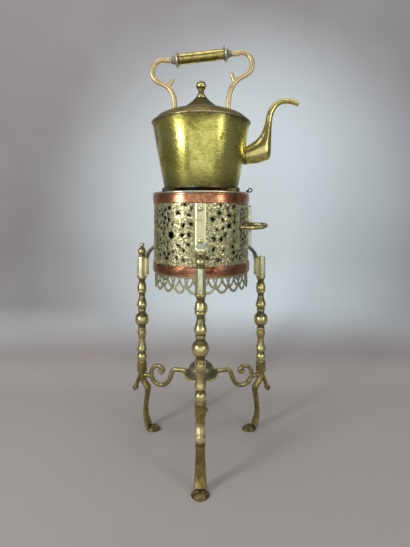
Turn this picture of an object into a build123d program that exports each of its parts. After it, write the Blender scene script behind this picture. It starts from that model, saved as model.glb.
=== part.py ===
from build123d import *
import os
from math import asin, cos, degrees, pi, radians, sin, tan

# Spirit kettle on a four-legged gallery stand, in millimetres.
# Origin: floor level on the axis of the stand. +Z is up, +X points along the spout,
# and -Y is the front, where one leg stands in the middle.

os.makedirs("parts", exist_ok=True)

ON_BASE = (Align.CENTER, Align.CENTER, Align.MIN)    # a shape that stands on its own base

# ---------------------------------------------------------------- fits and sheet metal
SHEET = 1.6                # wall of the gallery sheet
BAND_SHEET = 1.5           # wall of the two copper bands
KETTLE_WALL = 1.5          # raised sheet of the kettle
TOUCH = 0.05               # gap between pieces that are soldered or riveted together
LIFT_GAP = 0.3             # gap under a piece that only rests on another
SIDE_GAP = 0.6             # gap round a piece that lifts out or swings
PIN_FIT = 0.05             # radial clearance of a pin in its knuckle

# ---------------------------------------------------------------- stand: overall layout
LEG_STANDOFF = 38.0        # from the outside of the drum to the axis of each leg
SIDE_SWING = 18.0          # the two side legs stand this many degrees back of square
LEG_AZIMUTHS = {"front": -90.0, "right": SIDE_SWING, "back": 90.0, "left": 180.0 - SIDE_SWING}
FINIAL_LEGS = ("front", "back", "left")    # the right leg has lost its finial
TOE_TURNS = {"front": 180.0, "right": 0.0, "back": 0.0, "left": 0.0}    # 0 points the toe inwards

# ---------------------------------------------------------------- gallery drum
DRUM_R = 94.0              # outside of the pierced sheet
SHEET_TOP = 488.0
SHEET_BOTTOM = 339.0
TOP_BAND_HEIGHT = 18.0
LOW_BAND_HEIGHT = 18.5
RIM_WIRE_R = 2.0
GALLERY_COLUMNS = 18       # columns of pierced holes round the drum
GALLERY_ROWS = 7
GALLERY_MARGIN = 9.0       # plain sheet between the bands and the first row of holes
LARGE_HOLE_R = 4.6
SMALL_HOLE_R = 2.6

# ---------------------------------------------------------------- skirt under the drum
SKIRT_BOTTOM = 308.0
SKIRT_LAP = 14.0           # how far the skirt reaches up inside the gallery sheet
SKIRT_SHEET = 1.5
SCALLOPS = 22
SCALLOP_R = 21.3
SCALLOP_HOLE_R = 5.2
SKIRT_HOLE_R = 2.8

# ---------------------------------------------------------------- burner shelf
SHELF_SHEET = 1.5
SHELF_WELL_R = 37.0        # edge of the shallow well that the burner stands in
SHELF_LIP = 2.5
SHELF_VENT_R = 7.0
SHELF_VENTS = 8

# ---------------------------------------------------------------- kettle rests on the rim
REST_HEIGHT = 6.0          # the kettle stands this far above the rim wire
REST_THICKNESS = 4.0
REST_WIDTH = 9.0
REST_INNER_R = 58.0
REST_FOOT = 7.0            # radial length of the block that stands on the rim
REST_AZIMUTHS = (-45.0, 45.0, 135.0, 225.0)
LUG_AZIMUTH = -8.0
LUG_LENGTH = 9.0
LUG_HEIGHT = 5.0
LUG_EYE_R = 3.6
LUG_WIRE_R = 1.2

# ---------------------------------------------------------------- door in the gallery
DOOR_FREE_AZIMUTH = -44.0
HINGE_AZIMUTH = -2.0
DOOR_BOTTOM = 384.0
DOOR_TOP = 468.0
DOOR_STRIP_WIDTH = 5.0
DOOR_STRIP_PROUD = 2.2
DOOR_HOLE_COLUMNS = 4
DOOR_HOLE_ROWS = 5
HINGE_PIN_R = 1.5
KNUCKLE_R = 3.1
KNUCKLES = 5
KNUCKLE_GAP = 0.4
LEAF_START = 4.0           # from the hinge line to the flat of each leaf
LEAF_LENGTH = 8.0
LEAF_SHEET = 1.0
PULL_AZIMUTH = -30.0
PULL_HEIGHT = 428.0
PULL_REACH = 41.0          # from the door to the middle of the loop's outer rod
PULL_SPREAD = 34.0         # between the middles of the loop's two arms
PULL_ROD_R = 3.7
PULL_BEND_R = 15.0
PULL_TILT = 9.0            # the loop droops to the front by this many degrees
PULL_BOSS_R = 6.0
PULL_BOSS_HEIGHT = 4.0
CATCH_HEIGHT = 424.0
CATCH_LENGTH = 8.0
CATCH_WIDTH = 6.0
CATCH_THICKNESS = 1.6

# ---------------------------------------------------------------- strap brackets
STRAP_TOP = 469.0
STRAP_SLANT_RISE = 30.0    # the strap leaves the drum this far above the place where it meets the post
STRAP_FOOT_TOP = 358.0     # where the strap meets the post
STRAP_FOOT_BOTTOM = 322.0
STRAP_WIDTH = 19.0
STRAP_FOOT_WIDTH = 13.0
STRAP_THICKNESS = 4.0
STRAP_EDGE_R = 1.2
STRAP_BEND_R = 9.0
RIVET_R = 5.2
RIVET_DOME = 2.6
RIVET_HEIGHTS = (460.0, 403.0)

# ---------------------------------------------------------------- legs
FINIAL_TOP = 389.0
POST_TOP = 360.4
COLLAR_TOP = 319.0
POST_TOP_HALF = 8.4        # half the width across flats at the top of the post
POST_FOOT_HALF = 9.4
BLOCK_TOP = 139.4
BLOCK_BOTTOM = 116.0
BLOCK_HALF = 9.4
BALL_HEIGHT = 227.7
BALL_R = 14.8
TIE_ROD_R = 2.5
FOOT_PAD_LENGTH = 30.0
FOOT_PAD_WIDTH = 31.0
FOOT_PAD_HEIGHT = 10.0
FOOT_PAD_CENTRE = -26.5    # from the leg axis, towards the middle of the stand
SPUR_END_R = 4.6
SPUR_ROD_R = 3.4

# ---------------------------------------------------------------- stretcher
BOSS_R = 36.0
BOSS_RIM_HEIGHT = 129.0
BOSS_DOME_R = 25.0
BOSS_TOP = 156.0
BOSS_UNDER = 121.0
BOSS_SCREW_R = 3.0
BOSS_BUTTON_R = 5.4
BOSS_BUTTON_HEIGHT = 4.2
ARM_HALF_THICKNESS = 3.1
ARM_HALF_WIDTH = 4.4
ARM_CURL_BALL_R = 4.2
ARM_STUB_R = 4.0
ARM_DIP_HEIGHT = 96.5      # centre line at the bottom of the sweep between boss and leg
ARM_CURL_TOP = 136.0

# ---------------------------------------------------------------- kettle
KETTLE_BASE_R = 75.0
KETTLE_WALL_BASE_R = 73.0
KETTLE_SHOULDER_R = 97.0
SHOULDER_HEIGHT = 631.0    # where the wall meets the domed shoulder
SHOULDER_RISE = 27.0       # from there to the top of the neck
PAN_SHEET = 2.0
PAN_LIP = 4.0
LIP_FLARE = 0.8            # the wall already flares this much inside the lip of the pan
BEAD_R = 1.7
NECK_R = 36.7              # radius of the hole in the shoulder
NECK_SHEET = 1.3
NECK_DEPTH = 10.0
LID_R = 38.0
LID_SHEET = 1.4
LID_COLLAR_DEPTH = 8.0
LID_RISE = 23.7            # from the lid's seat to the foot of its knob
KNOB_HEIGHT = 34.6
KNOB_R = 10.9

# ---------------------------------------------------------------- spout
SPOUT_WALL = 1.4
SPOUT_TIP_X = 196.0
SPOUT_TIP_HEIGHT = 671.0
SPOUT_NOTCH = 9.0          # depth of the open beak
SPOUT_NOTCH_HALF = 3.4

# ---------------------------------------------------------------- swing of the handle
GRIP_ABOVE_KNOB = 48.6     # from the top of the knob to the axis of the grip
GRIP_TILT = 6.8            # the grip rises towards the spout by this many degrees
GRIP_R = 10.8
GRIP_HALF = 47.5
GRIP_WALL = 1.4
GRIP_ROD_R = 3.5
FLANGE_R = 16.2
FLANGE_THICKNESS = 5.0
FERRULE_NECK_R = 6.4
FERRULE_LENGTH = 13.0
SCROLL_FOOT_X = 54.2
SCROLL_OUTER_X = 99.0
SCROLL_KNEE_RISE = 44.0    # from the foot to the bend of the stem, before the tilt
SCROLL_LOOP_RISE = 74.5    # from the foot to the lower corner of the loop
SCROLL_HALF_THICKNESS = 4.4
SCROLL_HALF_WIDTH = 4.6
SCROLL_LOOP_R = 19.0
SCROLL_STEM_BEND_R = 24.0
SCROLL_FOOT_R = 6.8
SCROLL_FOOT_HEIGHT = 5.0
THORN_WIDTH = 6.5
STUD_R = 3.6
LOOSE_STUD_X = 70.0

# ---------------------------------------------------------------- spirit burner
FONT_R = 34.0
FONT_HEIGHT = 36.0
FONT_WALL = 1.3
BURNER_NECK_R = 13.0
WICK_TUBE_R = 7.5
WICK_TUBE_WALL = 1.0
WICK_TUBE_HEIGHT = 21.0
WICK_PROUD = 4.0

# ---------------------------------------------------------------- derived sizes
DRUM_INNER_R = DRUM_R - SHEET
LEG_CIRCLE = DRUM_R + LEG_STANDOFF
LOW_BAND_TOP = SHEET_BOTTOM + LOW_BAND_HEIGHT
STRAP_KNEE = STRAP_FOOT_TOP + STRAP_SLANT_RISE
RIM_TOP = SHEET_TOP + 2 * RIM_WIRE_R
KETTLE_BASE = RIM_TOP + REST_HEIGHT + LIFT_GAP
SKIRT_R = DRUM_INNER_R - TOUCH
SHELF_TOP = SHEET_BOTTOM + SHELF_SHEET + TOUCH
BURNER_BASE = SHELF_TOP + LIFT_GAP
STRAP_INNER = DRUM_R + TOUCH
POST_FACE = LEG_CIRCLE - POST_FOOT_HALF - TOUCH
HINGE_R = DRUM_R + KNUCKLE_R
PAN_TOP = KETTLE_BASE + PAN_SHEET
NECK_TOP = SHOULDER_HEIGHT + SHOULDER_RISE
LID_SEAT = NECK_TOP + LIFT_GAP
KNOB_FOOT = LID_SEAT + LID_RISE
KNOB_TOP = KNOB_FOOT + KNOB_HEIGHT
GRIP_HEIGHT = KNOB_TOP + GRIP_ABOVE_KNOB


def turned(points, axis_x=0.0):
    """A solid turned from a closed outline of (radius, height) points.

    A point with four numbers ends an arc, and its first pair is a point on that arc.
    """
    edges = []
    first = points[0]
    last = first
    for point in points[1:] + [first]:
        end = point[-2:]
        if len(point) == 4:
            edges.append(ThreePointArc((last[0], 0, last[1]), (point[0], 0, point[1]), (end[0], 0, end[1])))
        elif end != last:
            edges.append(Line((last[0], 0, last[1]), (end[0], 0, end[1])))
        last = end
    solid = revolve(make_face(Curve() + edges), Axis.Z, 360)
    return Pos(axis_x, 0, 0) * solid


def cap(rim_r, height, top):
    """The closing arc of a round dome whose top is on the axis, as one point of an outline."""
    sphere_r = (rim_r ** 2 + height ** 2) / (2 * height)
    half_angle = asin(min(1.0, rim_r / sphere_r)) / 2
    return (sphere_r * sin(half_angle), top - sphere_r + sphere_r * cos(half_angle), 0, top)


def ring(inner_r, outer_r, low, high):
    """A plain ring of sheet between two radii and two heights."""
    outer = Pos(0, 0, low) * Cylinder(outer_r, high - low, align=ON_BASE)
    inner = Pos(0, 0, low - 1) * Cylinder(inner_r, high - low + 2, align=ON_BASE)
    return outer - inner


def rod_between(start, end, radius):
    """A straight round rod from one point to another."""
    line = Line(start, end)
    return sweep(Plane(origin=start, z_dir=line % 0) * Circle(radius), path=line)


def bent_bar(points, radii, half_thickness, half_width):
    """An oval bar in the XZ plane along straight runs joined by arcs."""
    path = FilletPolyline(*[(x, 0, z) for x, z in points], radius=radii)
    section = Plane(origin=path @ 0, x_dir=(0, 1, 0), z_dir=path % 0) * Ellipse(half_width, half_thickness)
    return sweep(section, path=path)


def lofted_bar(stations, ruled=False):
    """A bar in the XZ plane through oval sections of (x, z, lean, half thickness, half width).

    The lean is the direction of the bar in degrees, measured up from +X. A ruled bar is
    straight from each section to the next one.
    """
    sections = []
    for x, z, lean, half_thickness, half_width in stations:
        direction = (cos(radians(lean)), 0, sin(radians(lean)))
        plane = Plane(origin=(x, 0, z), x_dir=(0, 1, 0), z_dir=direction)
        sections.append(plane * Ellipse(half_width, half_thickness))
    return loft(sections, ruled=ruled)


def sector(start, end, outer_r, low, high):
    """A wedge of a cylinder between two azimuths, for cutting and keeping curved panels."""
    wedge = Pos(0, 0, low) * Cylinder(outer_r, high - low, arc_size=end - start,
                                      align=(Align.NONE, Align.NONE, Align.MIN))
    return Rot(0, 0, start) * wedge


def drill(azimuth, height, radius, reach=DRUM_R + 6):
    """A round cutter that points outwards from the axis of the drum."""
    cutter = Rot(0, 90, 0) * Cylinder(radius, 30)
    return Rot(0, 0, azimuth) * Pos(reach - 15, 0, height) * cutter


def at_azimuth(shape, azimuth):
    """Turn a shape made on the +X side of the stand to its own azimuth."""
    return Rot(0, 0, azimuth) * shape


def write(node, shape):
    """Write one sub-part to its own file."""
    export_step(shape, f"parts/{node}.step")


# ================================================================ gallery drum
def angle_of(length, radius):
    """The angle in degrees that a length round a circle takes up."""
    return degrees(length / radius)


def door_opening_limits():
    """Azimuths of the two edges of the doorway."""
    gap = angle_of(SIDE_GAP, DRUM_R)
    return DOOR_FREE_AZIMUTH - gap, HINGE_AZIMUTH - gap


def gallery_hole_places():
    """Azimuth, height and radius of each pierced hole in the drum."""
    low = LOW_BAND_TOP + GALLERY_MARGIN
    high = SHEET_TOP - TOP_BAND_HEIGHT - GALLERY_MARGIN
    places = []
    for row in range(GALLERY_ROWS):
        height = low + (high - low) * row / (GALLERY_ROWS - 1)
        radius = LARGE_HOLE_R if row % 2 else SMALL_HOLE_R
        for column in range(GALLERY_COLUMNS):
            azimuth = 360.0 / GALLERY_COLUMNS * (column + 0.5 * (row % 2))
            places.append((azimuth, height, radius))
    return places


def clear_of_door(azimuth, height, radius):
    """True where a hole leaves plain sheet round the doorway."""
    start, end = door_opening_limits()
    margin = angle_of(radius + 4.0, DRUM_R)
    turned_azimuth = (azimuth + 180.0) % 360.0 - 180.0
    beside = turned_azimuth < start - margin or turned_azimuth > end + angle_of(LEAF_LENGTH, DRUM_R) + margin
    above_or_below = height > DOOR_TOP + radius + 2 or height < DOOR_BOTTOM - radius - 2
    return beside or above_or_below


def clear_of_straps(azimuth, height, radius):
    """True where a hole isn't behind a strap bracket."""
    if height < STRAP_KNEE - radius:
        return True
    half = angle_of(STRAP_WIDTH / 2 + radius + 1, DRUM_R)
    return all(abs((azimuth - leg + 180.0) % 360.0 - 180.0) > half for leg in LEG_AZIMUTHS.values())


def gallery_sheet():
    """The pierced drum with its doorway."""
    sheet = ring(DRUM_INNER_R, DRUM_R, SHEET_BOTTOM, SHEET_TOP)
    start, end = door_opening_limits()
    sheet -= sector(start, end, DRUM_R + 5, DOOR_BOTTOM - SIDE_GAP, DOOR_TOP + SIDE_GAP)
    places = [p for p in gallery_hole_places() if clear_of_door(*p) and clear_of_straps(*p)]
    return sheet - [drill(*place) for place in places]


def top_band():
    """The copper band at the top of the drum."""
    return ring(DRUM_R + TOUCH, DRUM_R + BAND_SHEET, SHEET_TOP - TOP_BAND_HEIGHT, SHEET_TOP)


def low_band():
    """The copper band at the foot of the drum."""
    return ring(DRUM_R + TOUCH, DRUM_R + BAND_SHEET, SHEET_BOTTOM, LOW_BAND_TOP)


def rim_wire():
    """The half-round wire that finishes the top edge."""
    return Pos(0, 0, SHEET_TOP + RIM_WIRE_R) * Torus(DRUM_R, RIM_WIRE_R)


def skirt():
    """The pierced skirt with its scalloped hem."""
    top = SHEET_BOTTOM + SKIRT_LAP
    sheet = ring(SKIRT_R - SKIRT_SHEET, SKIRT_R, SKIRT_BOTTOM, top)
    step = 360.0 / SCALLOPS
    scallop_height = SKIRT_BOTTOM + SCALLOP_R
    keep = ring(SKIRT_R - 20, SKIRT_R + 5, scallop_height - SCALLOP_R / 2, top + 1)
    for index in range(SCALLOPS):
        keep += drill(index * step, scallop_height, SCALLOP_R)
    hem = sheet & keep
    holes = []
    for index in range(SCALLOPS):
        holes.append(drill(index * step, SKIRT_BOTTOM + SCALLOP_HOLE_R + 5, SCALLOP_HOLE_R))
        holes.append(drill((index + 0.5) * step, SKIRT_BOTTOM + SCALLOP_HOLE_R + 12, SKIRT_HOLE_R))
    return hem - holes


def burner_shelf():
    """The plate inside the drum that the burner stands on."""
    outer_r = SKIRT_R - SKIRT_SHEET - TOUCH
    plate = Pos(0, 0, SHEET_BOTTOM) * Cylinder(outer_r, SHELF_SHEET, align=ON_BASE)
    plate += ring(SHELF_WELL_R, SHELF_WELL_R + SHELF_SHEET, SHEET_BOTTOM, SHELF_TOP + SHELF_LIP)
    middle_r = (SHELF_WELL_R + outer_r) / 2
    for index in range(SHELF_VENTS):
        vent = Pos(middle_r, 0, SHEET_BOTTOM) * Cylinder(SHELF_VENT_R, 20)
        plate -= at_azimuth(vent, 360.0 / SHELF_VENTS * index)
    return plate


def kettle_rest(azimuth):
    """One flat bar on the rim that carries the kettle."""
    top = RIM_TOP + REST_HEIGHT
    outer_r = DRUM_R + RIM_WIRE_R
    length = outer_r - REST_INNER_R
    bar = Pos(REST_INNER_R, 0, top - REST_THICKNESS) * Box(
        length, REST_WIDTH, REST_THICKNESS, align=(Align.MIN, Align.CENTER, Align.MIN))
    bar += Pos(outer_r - REST_FOOT, 0, RIM_TOP) * Box(
        REST_FOOT, REST_WIDTH, REST_HEIGHT, align=(Align.MIN, Align.CENTER, Align.MIN))
    return at_azimuth(bar, azimuth)


def rim_lug():
    """The small eyed lug on the rim beside the spout."""
    body = Pos(DRUM_R - 2, 0, RIM_TOP) * Box(5, LUG_LENGTH, LUG_HEIGHT, align=ON_BASE)
    eye_height = RIM_TOP + LUG_EYE_R + LUG_WIRE_R + TOUCH
    eye = Pos(DRUM_R + LUG_EYE_R, 0, eye_height) * Rot(90, 0, 0) * Torus(LUG_EYE_R, LUG_WIRE_R)
    return at_azimuth(body + eye, LUG_AZIMUTH)


# ================================================================ door
def door_edge_azimuths():
    """Azimuths of the free edge and the hinged edge of the door."""
    return DOOR_FREE_AZIMUTH, HINGE_AZIMUTH - angle_of(2 * SIDE_GAP, DRUM_R)


def door_panel():
    """The curved pierced door."""
    free, hinged = door_edge_azimuths()
    panel = ring(DRUM_INNER_R, DRUM_R, DOOR_BOTTOM, DOOR_TOP)
    panel &= sector(free, hinged, DRUM_R + 5, DOOR_BOTTOM, DOOR_TOP)
    holes = []
    for row in range(DOOR_HOLE_ROWS):
        height = DOOR_BOTTOM + (DOOR_TOP - DOOR_BOTTOM) * (row + 0.6) / (DOOR_HOLE_ROWS + 0.2)
        if abs(height - PULL_HEIGHT) < PULL_BOSS_R + SMALL_HOLE_R:
            continue
        for column in range(DOOR_HOLE_COLUMNS):
            azimuth = free + (hinged - free) * (column + 1.0) / (DOOR_HOLE_COLUMNS + 1.2)
            holes.append(drill(azimuth, height, LARGE_HOLE_R if (row + column) % 2 else SMALL_HOLE_R))
    return panel - holes


def door_strip():
    """The bright strip along the free edge of the door, with the tongue that holds it shut."""
    free = DOOR_FREE_AZIMUTH
    strip = ring(DRUM_R + TOUCH, DRUM_R + DOOR_STRIP_PROUD, DOOR_BOTTOM + 1, DOOR_TOP - 1)
    strip &= sector(free, free + angle_of(DOOR_STRIP_WIDTH, DRUM_R), DRUM_R + 5, DOOR_BOTTOM, DOOR_TOP)
    low, high = CATCH_HEIGHT - CATCH_WIDTH / 2, CATCH_HEIGHT + CATCH_WIDTH / 2
    inner_r = DRUM_R + LIFT_GAP + TOUCH
    tongue = ring(inner_r, inner_r + CATCH_THICKNESS, low, high)
    tongue &= sector(free - angle_of(CATCH_LENGTH, DRUM_R), free + 1, DRUM_R + 9, low, high)
    return strip + tongue


def pull_point(outwards, sideways):
    """A point of the tilted loop, from its distance out of the door and along it."""
    azimuth = radians(PULL_AZIMUTH)
    tilt = radians(PULL_TILT)
    x = outwards * cos(azimuth) - sideways * cos(tilt) * sin(azimuth)
    y = outwards * sin(azimuth) + sideways * cos(tilt) * cos(azimuth)
    return (x, y, PULL_HEIGHT + sideways * sin(tilt))


def pull_seat(side):
    """One of the round seats that join the loop to the door."""
    start = pull_point(DRUM_INNER_R - 10, side)
    end = pull_point(DRUM_R + PULL_BOSS_HEIGHT + 3, side)
    return rod_between(start, end, PULL_BOSS_R) & ring(1, DRUM_R + PULL_BOSS_HEIGHT, DOOR_BOTTOM, DOOR_TOP)


def pull_loop(strip):
    """The loop of heavy rod that opens the door, with its two seats fitted round the strip."""
    half = PULL_SPREAD / 2
    outer = DRUM_R + PULL_REACH
    corners = [pull_point(DRUM_INNER_R - 8, -half), pull_point(outer, -half),
               pull_point(outer, half), pull_point(DRUM_INNER_R - 8, half)]
    path = FilletPolyline(*corners, radius=PULL_BEND_R)
    loop = sweep(Plane(origin=path @ 0, z_dir=path % 0) * Circle(PULL_ROD_R), path=path)
    loop += pull_seat(-half)
    loop += pull_seat(half)
    inside = Pos(0, 0, DOOR_BOTTOM) * Cylinder(
        DRUM_R + TOUCH, DOOR_TOP - DOOR_BOTTOM, align=ON_BASE)
    return loop - inside - strip


def knuckle_spans():
    """Low and high end of each knuckle, from the bottom of the hinge up."""
    length = (DOOR_TOP - DOOR_BOTTOM - 8) / KNUCKLES
    low = DOOR_BOTTOM + 4
    half_gap = KNUCKLE_GAP / 2
    return [(low + i * length + half_gap, low + (i + 1) * length - half_gap) for i in range(KNUCKLES)]


def hinge_leaf(spans, leaf_start, leaf_end):
    """A hinge leaf bent to the drum, with its knuckles and the web behind each of them."""
    low, high = DOOR_BOTTOM + 4, DOOR_TOP - 4
    leaf = ring(DRUM_R + TOUCH, DRUM_R + LEAF_SHEET, low, high)
    leaf &= sector(leaf_start, leaf_end, DRUM_R + 5, low, high)
    side = 1 if leaf_start >= HINGE_AZIMUTH else -1
    bore = Pos(HINGE_R, 0, low - 5) * Cylinder(
        HINGE_PIN_R + PIN_FIT, high - low + 10, align=ON_BASE)
    for bottom, top in spans:
        barrel = Pos(HINGE_R, 0, bottom) * Cylinder(
            KNUCKLE_R, top - bottom, align=ON_BASE)
        web = Pos(DRUM_R + LEAF_SHEET / 2 + TOUCH, side * LEAF_START / 2, bottom) * Box(
            LEAF_SHEET, LEAF_START + 1, top - bottom, align=ON_BASE)
        leaf += at_azimuth(barrel + web, HINGE_AZIMUTH)
    cutter = at_azimuth(bore, HINGE_AZIMUTH)
    inner = Pos(0, 0, low - 5) * Cylinder(DRUM_R + TOUCH, high - low + 10,
                                          align=ON_BASE)
    return leaf - cutter - inner


def door_leaf():
    """The hinge leaf on the door."""
    end = HINGE_AZIMUTH - angle_of(LEAF_START, DRUM_R)
    return hinge_leaf(knuckle_spans()[1::2], end - angle_of(LEAF_LENGTH, DRUM_R), end)


def frame_leaf():
    """The hinge leaf on the drum."""
    start = HINGE_AZIMUTH + angle_of(LEAF_START, DRUM_R)
    return hinge_leaf(knuckle_spans()[0::2], start, start + angle_of(LEAF_LENGTH, DRUM_R))


def hinge_pin():
    """The pin of the door hinge, with a round head."""
    low = DOOR_BOTTOM + 3
    high = DOOR_TOP - 3
    pin = Pos(HINGE_R, 0, low) * Cylinder(HINGE_PIN_R, high - low, align=ON_BASE)
    pin += Pos(HINGE_R, 0, high) * Cylinder(KNUCKLE_R - 0.6, 2, align=ON_BASE)
    return at_azimuth(pin, HINGE_AZIMUTH)


# ================================================================ legs
def strap():
    """A flat bracket riveted to the drum, which bends out to the post."""
    thickness = STRAP_THICKNESS
    middle = STRAP_INNER + thickness / 2
    foot = POST_FACE - thickness / 2
    corners = [
        (middle, 0, STRAP_TOP), (middle, 0, STRAP_KNEE),
        (foot, 0, STRAP_FOOT_TOP), (foot, 0, STRAP_FOOT_BOTTOM),
    ]
    path = FilletPolyline(*corners, radius=STRAP_BEND_R)
    plane = Plane(origin=path @ 0, x_dir=(0, 1, 0), z_dir=path % 0)
    bar = sweep(plane * RectangleRounded(STRAP_WIDTH, thickness, STRAP_EDGE_R), path=path)
    half, foot_half = STRAP_WIDTH / 2, STRAP_FOOT_WIDTH / 2
    low, high = STRAP_FOOT_BOTTOM - 1, STRAP_TOP + 1
    one_side = [(half, high), (half, STRAP_KNEE), (foot_half, STRAP_FOOT_TOP), (foot_half, low)]
    other_side = [(-y, z) for y, z in reversed(one_side)]
    outline = Polyline(*one_side, *other_side, close=True)
    shape = extrude(Plane.YZ * make_face(outline), LEG_CIRCLE)
    return bar & shape


def strap_rivets(azimuth):
    """The two domed rivet heads on one strap."""
    face = STRAP_INNER + STRAP_THICKNESS + TOUCH
    head = turned([(0, 0), (RIVET_R, 0), cap(RIVET_R, RIVET_DOME, RIVET_DOME)])
    heads = [at_azimuth(Pos(face, 0, height) * Rot(0, 90, 0) * head, azimuth) for height in RIVET_HEIGHTS]
    return heads


def post():
    """The eight-sided post at the top of a leg."""
    lower = Plane.XY.offset(COLLAR_TOP) * RegularPolygon(POST_FOOT_HALF, 8, major_radius=False, rotation=22.5)
    upper = Plane.XY.offset(POST_TOP) * RegularPolygon(POST_TOP_HALF, 8, major_radius=False, rotation=22.5)
    body = loft([lower, upper])
    bore = Pos(0, 0, COLLAR_TOP - 1) * Cylinder(TIE_ROD_R + PIN_FIT, 30, align=ON_BASE)
    return Pos(LEG_CIRCLE, 0, 0) * (body - bore)


def finial():
    """The turned finial on top of a post."""
    base = POST_TOP + TOUCH
    top = FINIAL_TOP
    profile = [
        (0, base), (6.4, base), (6.4, base + 2.2), (7.4, base + 3.6, 6.2, base + 5.2),
        (8.9, base + 10.5, 5.0, base + 17.5), (2.7, base + 20), (3.0, top - 7.6),
        (5.2, top - 5.4), cap(5.2, 5.4, top),
    ]
    return turned(profile, LEG_CIRCLE)


def baluster():
    """The long turned shaft of a leg, from its collar down to the block."""
    bore = TIE_ROD_R + PIN_FIT
    top = COLLAR_TOP - TOUCH
    ball = BALL_HEIGHT
    low = BLOCK_TOP + TOUCH
    profile = [
        (bore, top), (9.8, top), (10.4, top - 2.4), (6.4, top - 9.6), (6.2, top - 12.6),
        (10.8, top - 21, 8.2, top - 28.2), (8.2, top - 28.8), (9.8, top - 31.4, 8.0, top - 34.6),
        (6.2, top - 38), (7.3, top - 46.5, 9.6, top - 55), (10.6, top - 60.5, 8.2, top - 66.8),
        (7.6, top - 67.6), (8.5, top - 71, 7.6, top - 74.4), (7.0, ball + 13.4),
        (BALL_R, ball, 7.2, ball - 13.3), (7.2, ball - 16.4), (8.0, ball - 19.4, 7.4, ball - 22.8),
        (9.3, ball - 24, 9.3, ball - 31), (8.4, ball - 32.4), (7.4, ball - 40, 7.2, ball - 47.6),
        (8.6, ball - 54.6, 10.2, ball - 60.8), (10.4, ball - 65), (7.6, ball - 66.6), (7.4, ball - 71),
        (10.4, ball - 79, 8.4, low + 2.2), (9.0, low), (bore, low),
    ]
    return turned(profile, LEG_CIRCLE)


def tie_rod():
    """The iron rod that holds the sections of a leg together."""
    low = BLOCK_TOP - 12
    high = COLLAR_TOP + 26
    return Pos(LEG_CIRCLE, 0, low) * Cylinder(TIE_ROD_R, high - low, align=ON_BASE)


def foot():
    """The cast foot: faceted block, cabriole leg, scaly pad and outward spur."""
    octagon = RegularPolygon(BLOCK_HALF, 8, major_radius=False, rotation=22.5)
    block = extrude(Plane.XY.offset(BLOCK_BOTTOM) * octagon, BLOCK_TOP - BLOCK_BOTTOM)
    block = chamfer(block.edges().group_by(Axis.Z)[0] + block.edges().group_by(Axis.Z)[-1], 1.5)
    limb = lofted_bar([
        (0, BLOCK_BOTTOM + 4, -90, 7.4, 7.8), (-1.0, 107, -95, 6.6, 7.6), (-6.5, 96, -125, 6.0, 7.8),
        (-13.2, 83, -108, 6.2, 8.2), (-13.6, 70, -84, 5.8, 8.2), (-10.6, 54, -78, 5.0, 8.4),
        (-9.2, 37, -88, 4.8, 9.0), (-10.8, 22, -100, 5.2, 10.0), (-15.5, 7, -112, 6.2, 10.8)])
    spur = rod_between((1, 0, BLOCK_BOTTOM - 2), (8.5, 0, 99), SPUR_ROD_R)
    spur += Pos(8.5, 0, 99) * Sphere(SPUR_ROD_R)
    spur += rod_between((8.5, 0, 99), (15.0, 0, 82), SPUR_ROD_R)
    spur += Pos(15.2, 0, 81.5) * Rot(90, 0, 0) * Cylinder(SPUR_END_R, 2 * SPUR_ROD_R + 2)
    pad = Pos(FOOT_PAD_CENTRE, 0, 0) * scale(
        Sphere(1), by=(FOOT_PAD_LENGTH / 2, FOOT_PAD_WIDTH / 2, FOOT_PAD_HEIGHT))
    casting = block + limb + spur + pad
    casting -= Pos(-20, 0, 0) * Box(100, 100, 40, align=(Align.CENTER, Align.CENTER, Align.MAX))
    bore = Pos(0, 0, BLOCK_TOP - 12 - TOUCH) * Cylinder(
        TIE_ROD_R + PIN_FIT, 20, align=ON_BASE)
    return Pos(LEG_CIRCLE, 0, 0) * (casting - bore)


def placed_foot(casting, name):
    """The foot under its own leg, with its toe turned as it is on that leg."""
    axis = Pos(LEG_CIRCLE, 0, 0)
    return axis * Rot(0, 0, TOE_TURNS[name]) * axis.inverse() * casting


# ================================================================ stretcher
def boss():
    """The domed boss in the middle of the stretcher."""
    rim = BOSS_RIM_HEIGHT
    profile = [
        (BOSS_SCREW_R + PIN_FIT, BOSS_UNDER), (BOSS_DOME_R - 4, BOSS_UNDER), (BOSS_R - 2, rim - 2.6),
        (BOSS_R, rim - 1.3, BOSS_R - 1, rim), (BOSS_DOME_R + 2, rim + 7), (BOSS_DOME_R, rim + 10),
        (17.0, BOSS_TOP - 5.0, BOSS_SCREW_R + PIN_FIT, BOSS_TOP),
    ]
    return turned(profile)


def boss_screw():
    """The screw through the boss, with a round button on top and a riveted end below."""
    top = BOSS_TOP + TOUCH
    profile = [
        (0, BOSS_UNDER - 3), (BOSS_BUTTON_R - 1, BOSS_UNDER - 3), (BOSS_BUTTON_R - 1, BOSS_UNDER - TOUCH),
        (BOSS_SCREW_R, BOSS_UNDER - TOUCH), (BOSS_SCREW_R, top),
        (BOSS_BUTTON_R, top), cap(BOSS_BUTTON_R, BOSS_BUTTON_HEIGHT, top + BOSS_BUTTON_HEIGHT),
    ]
    return turned(profile)


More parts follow.
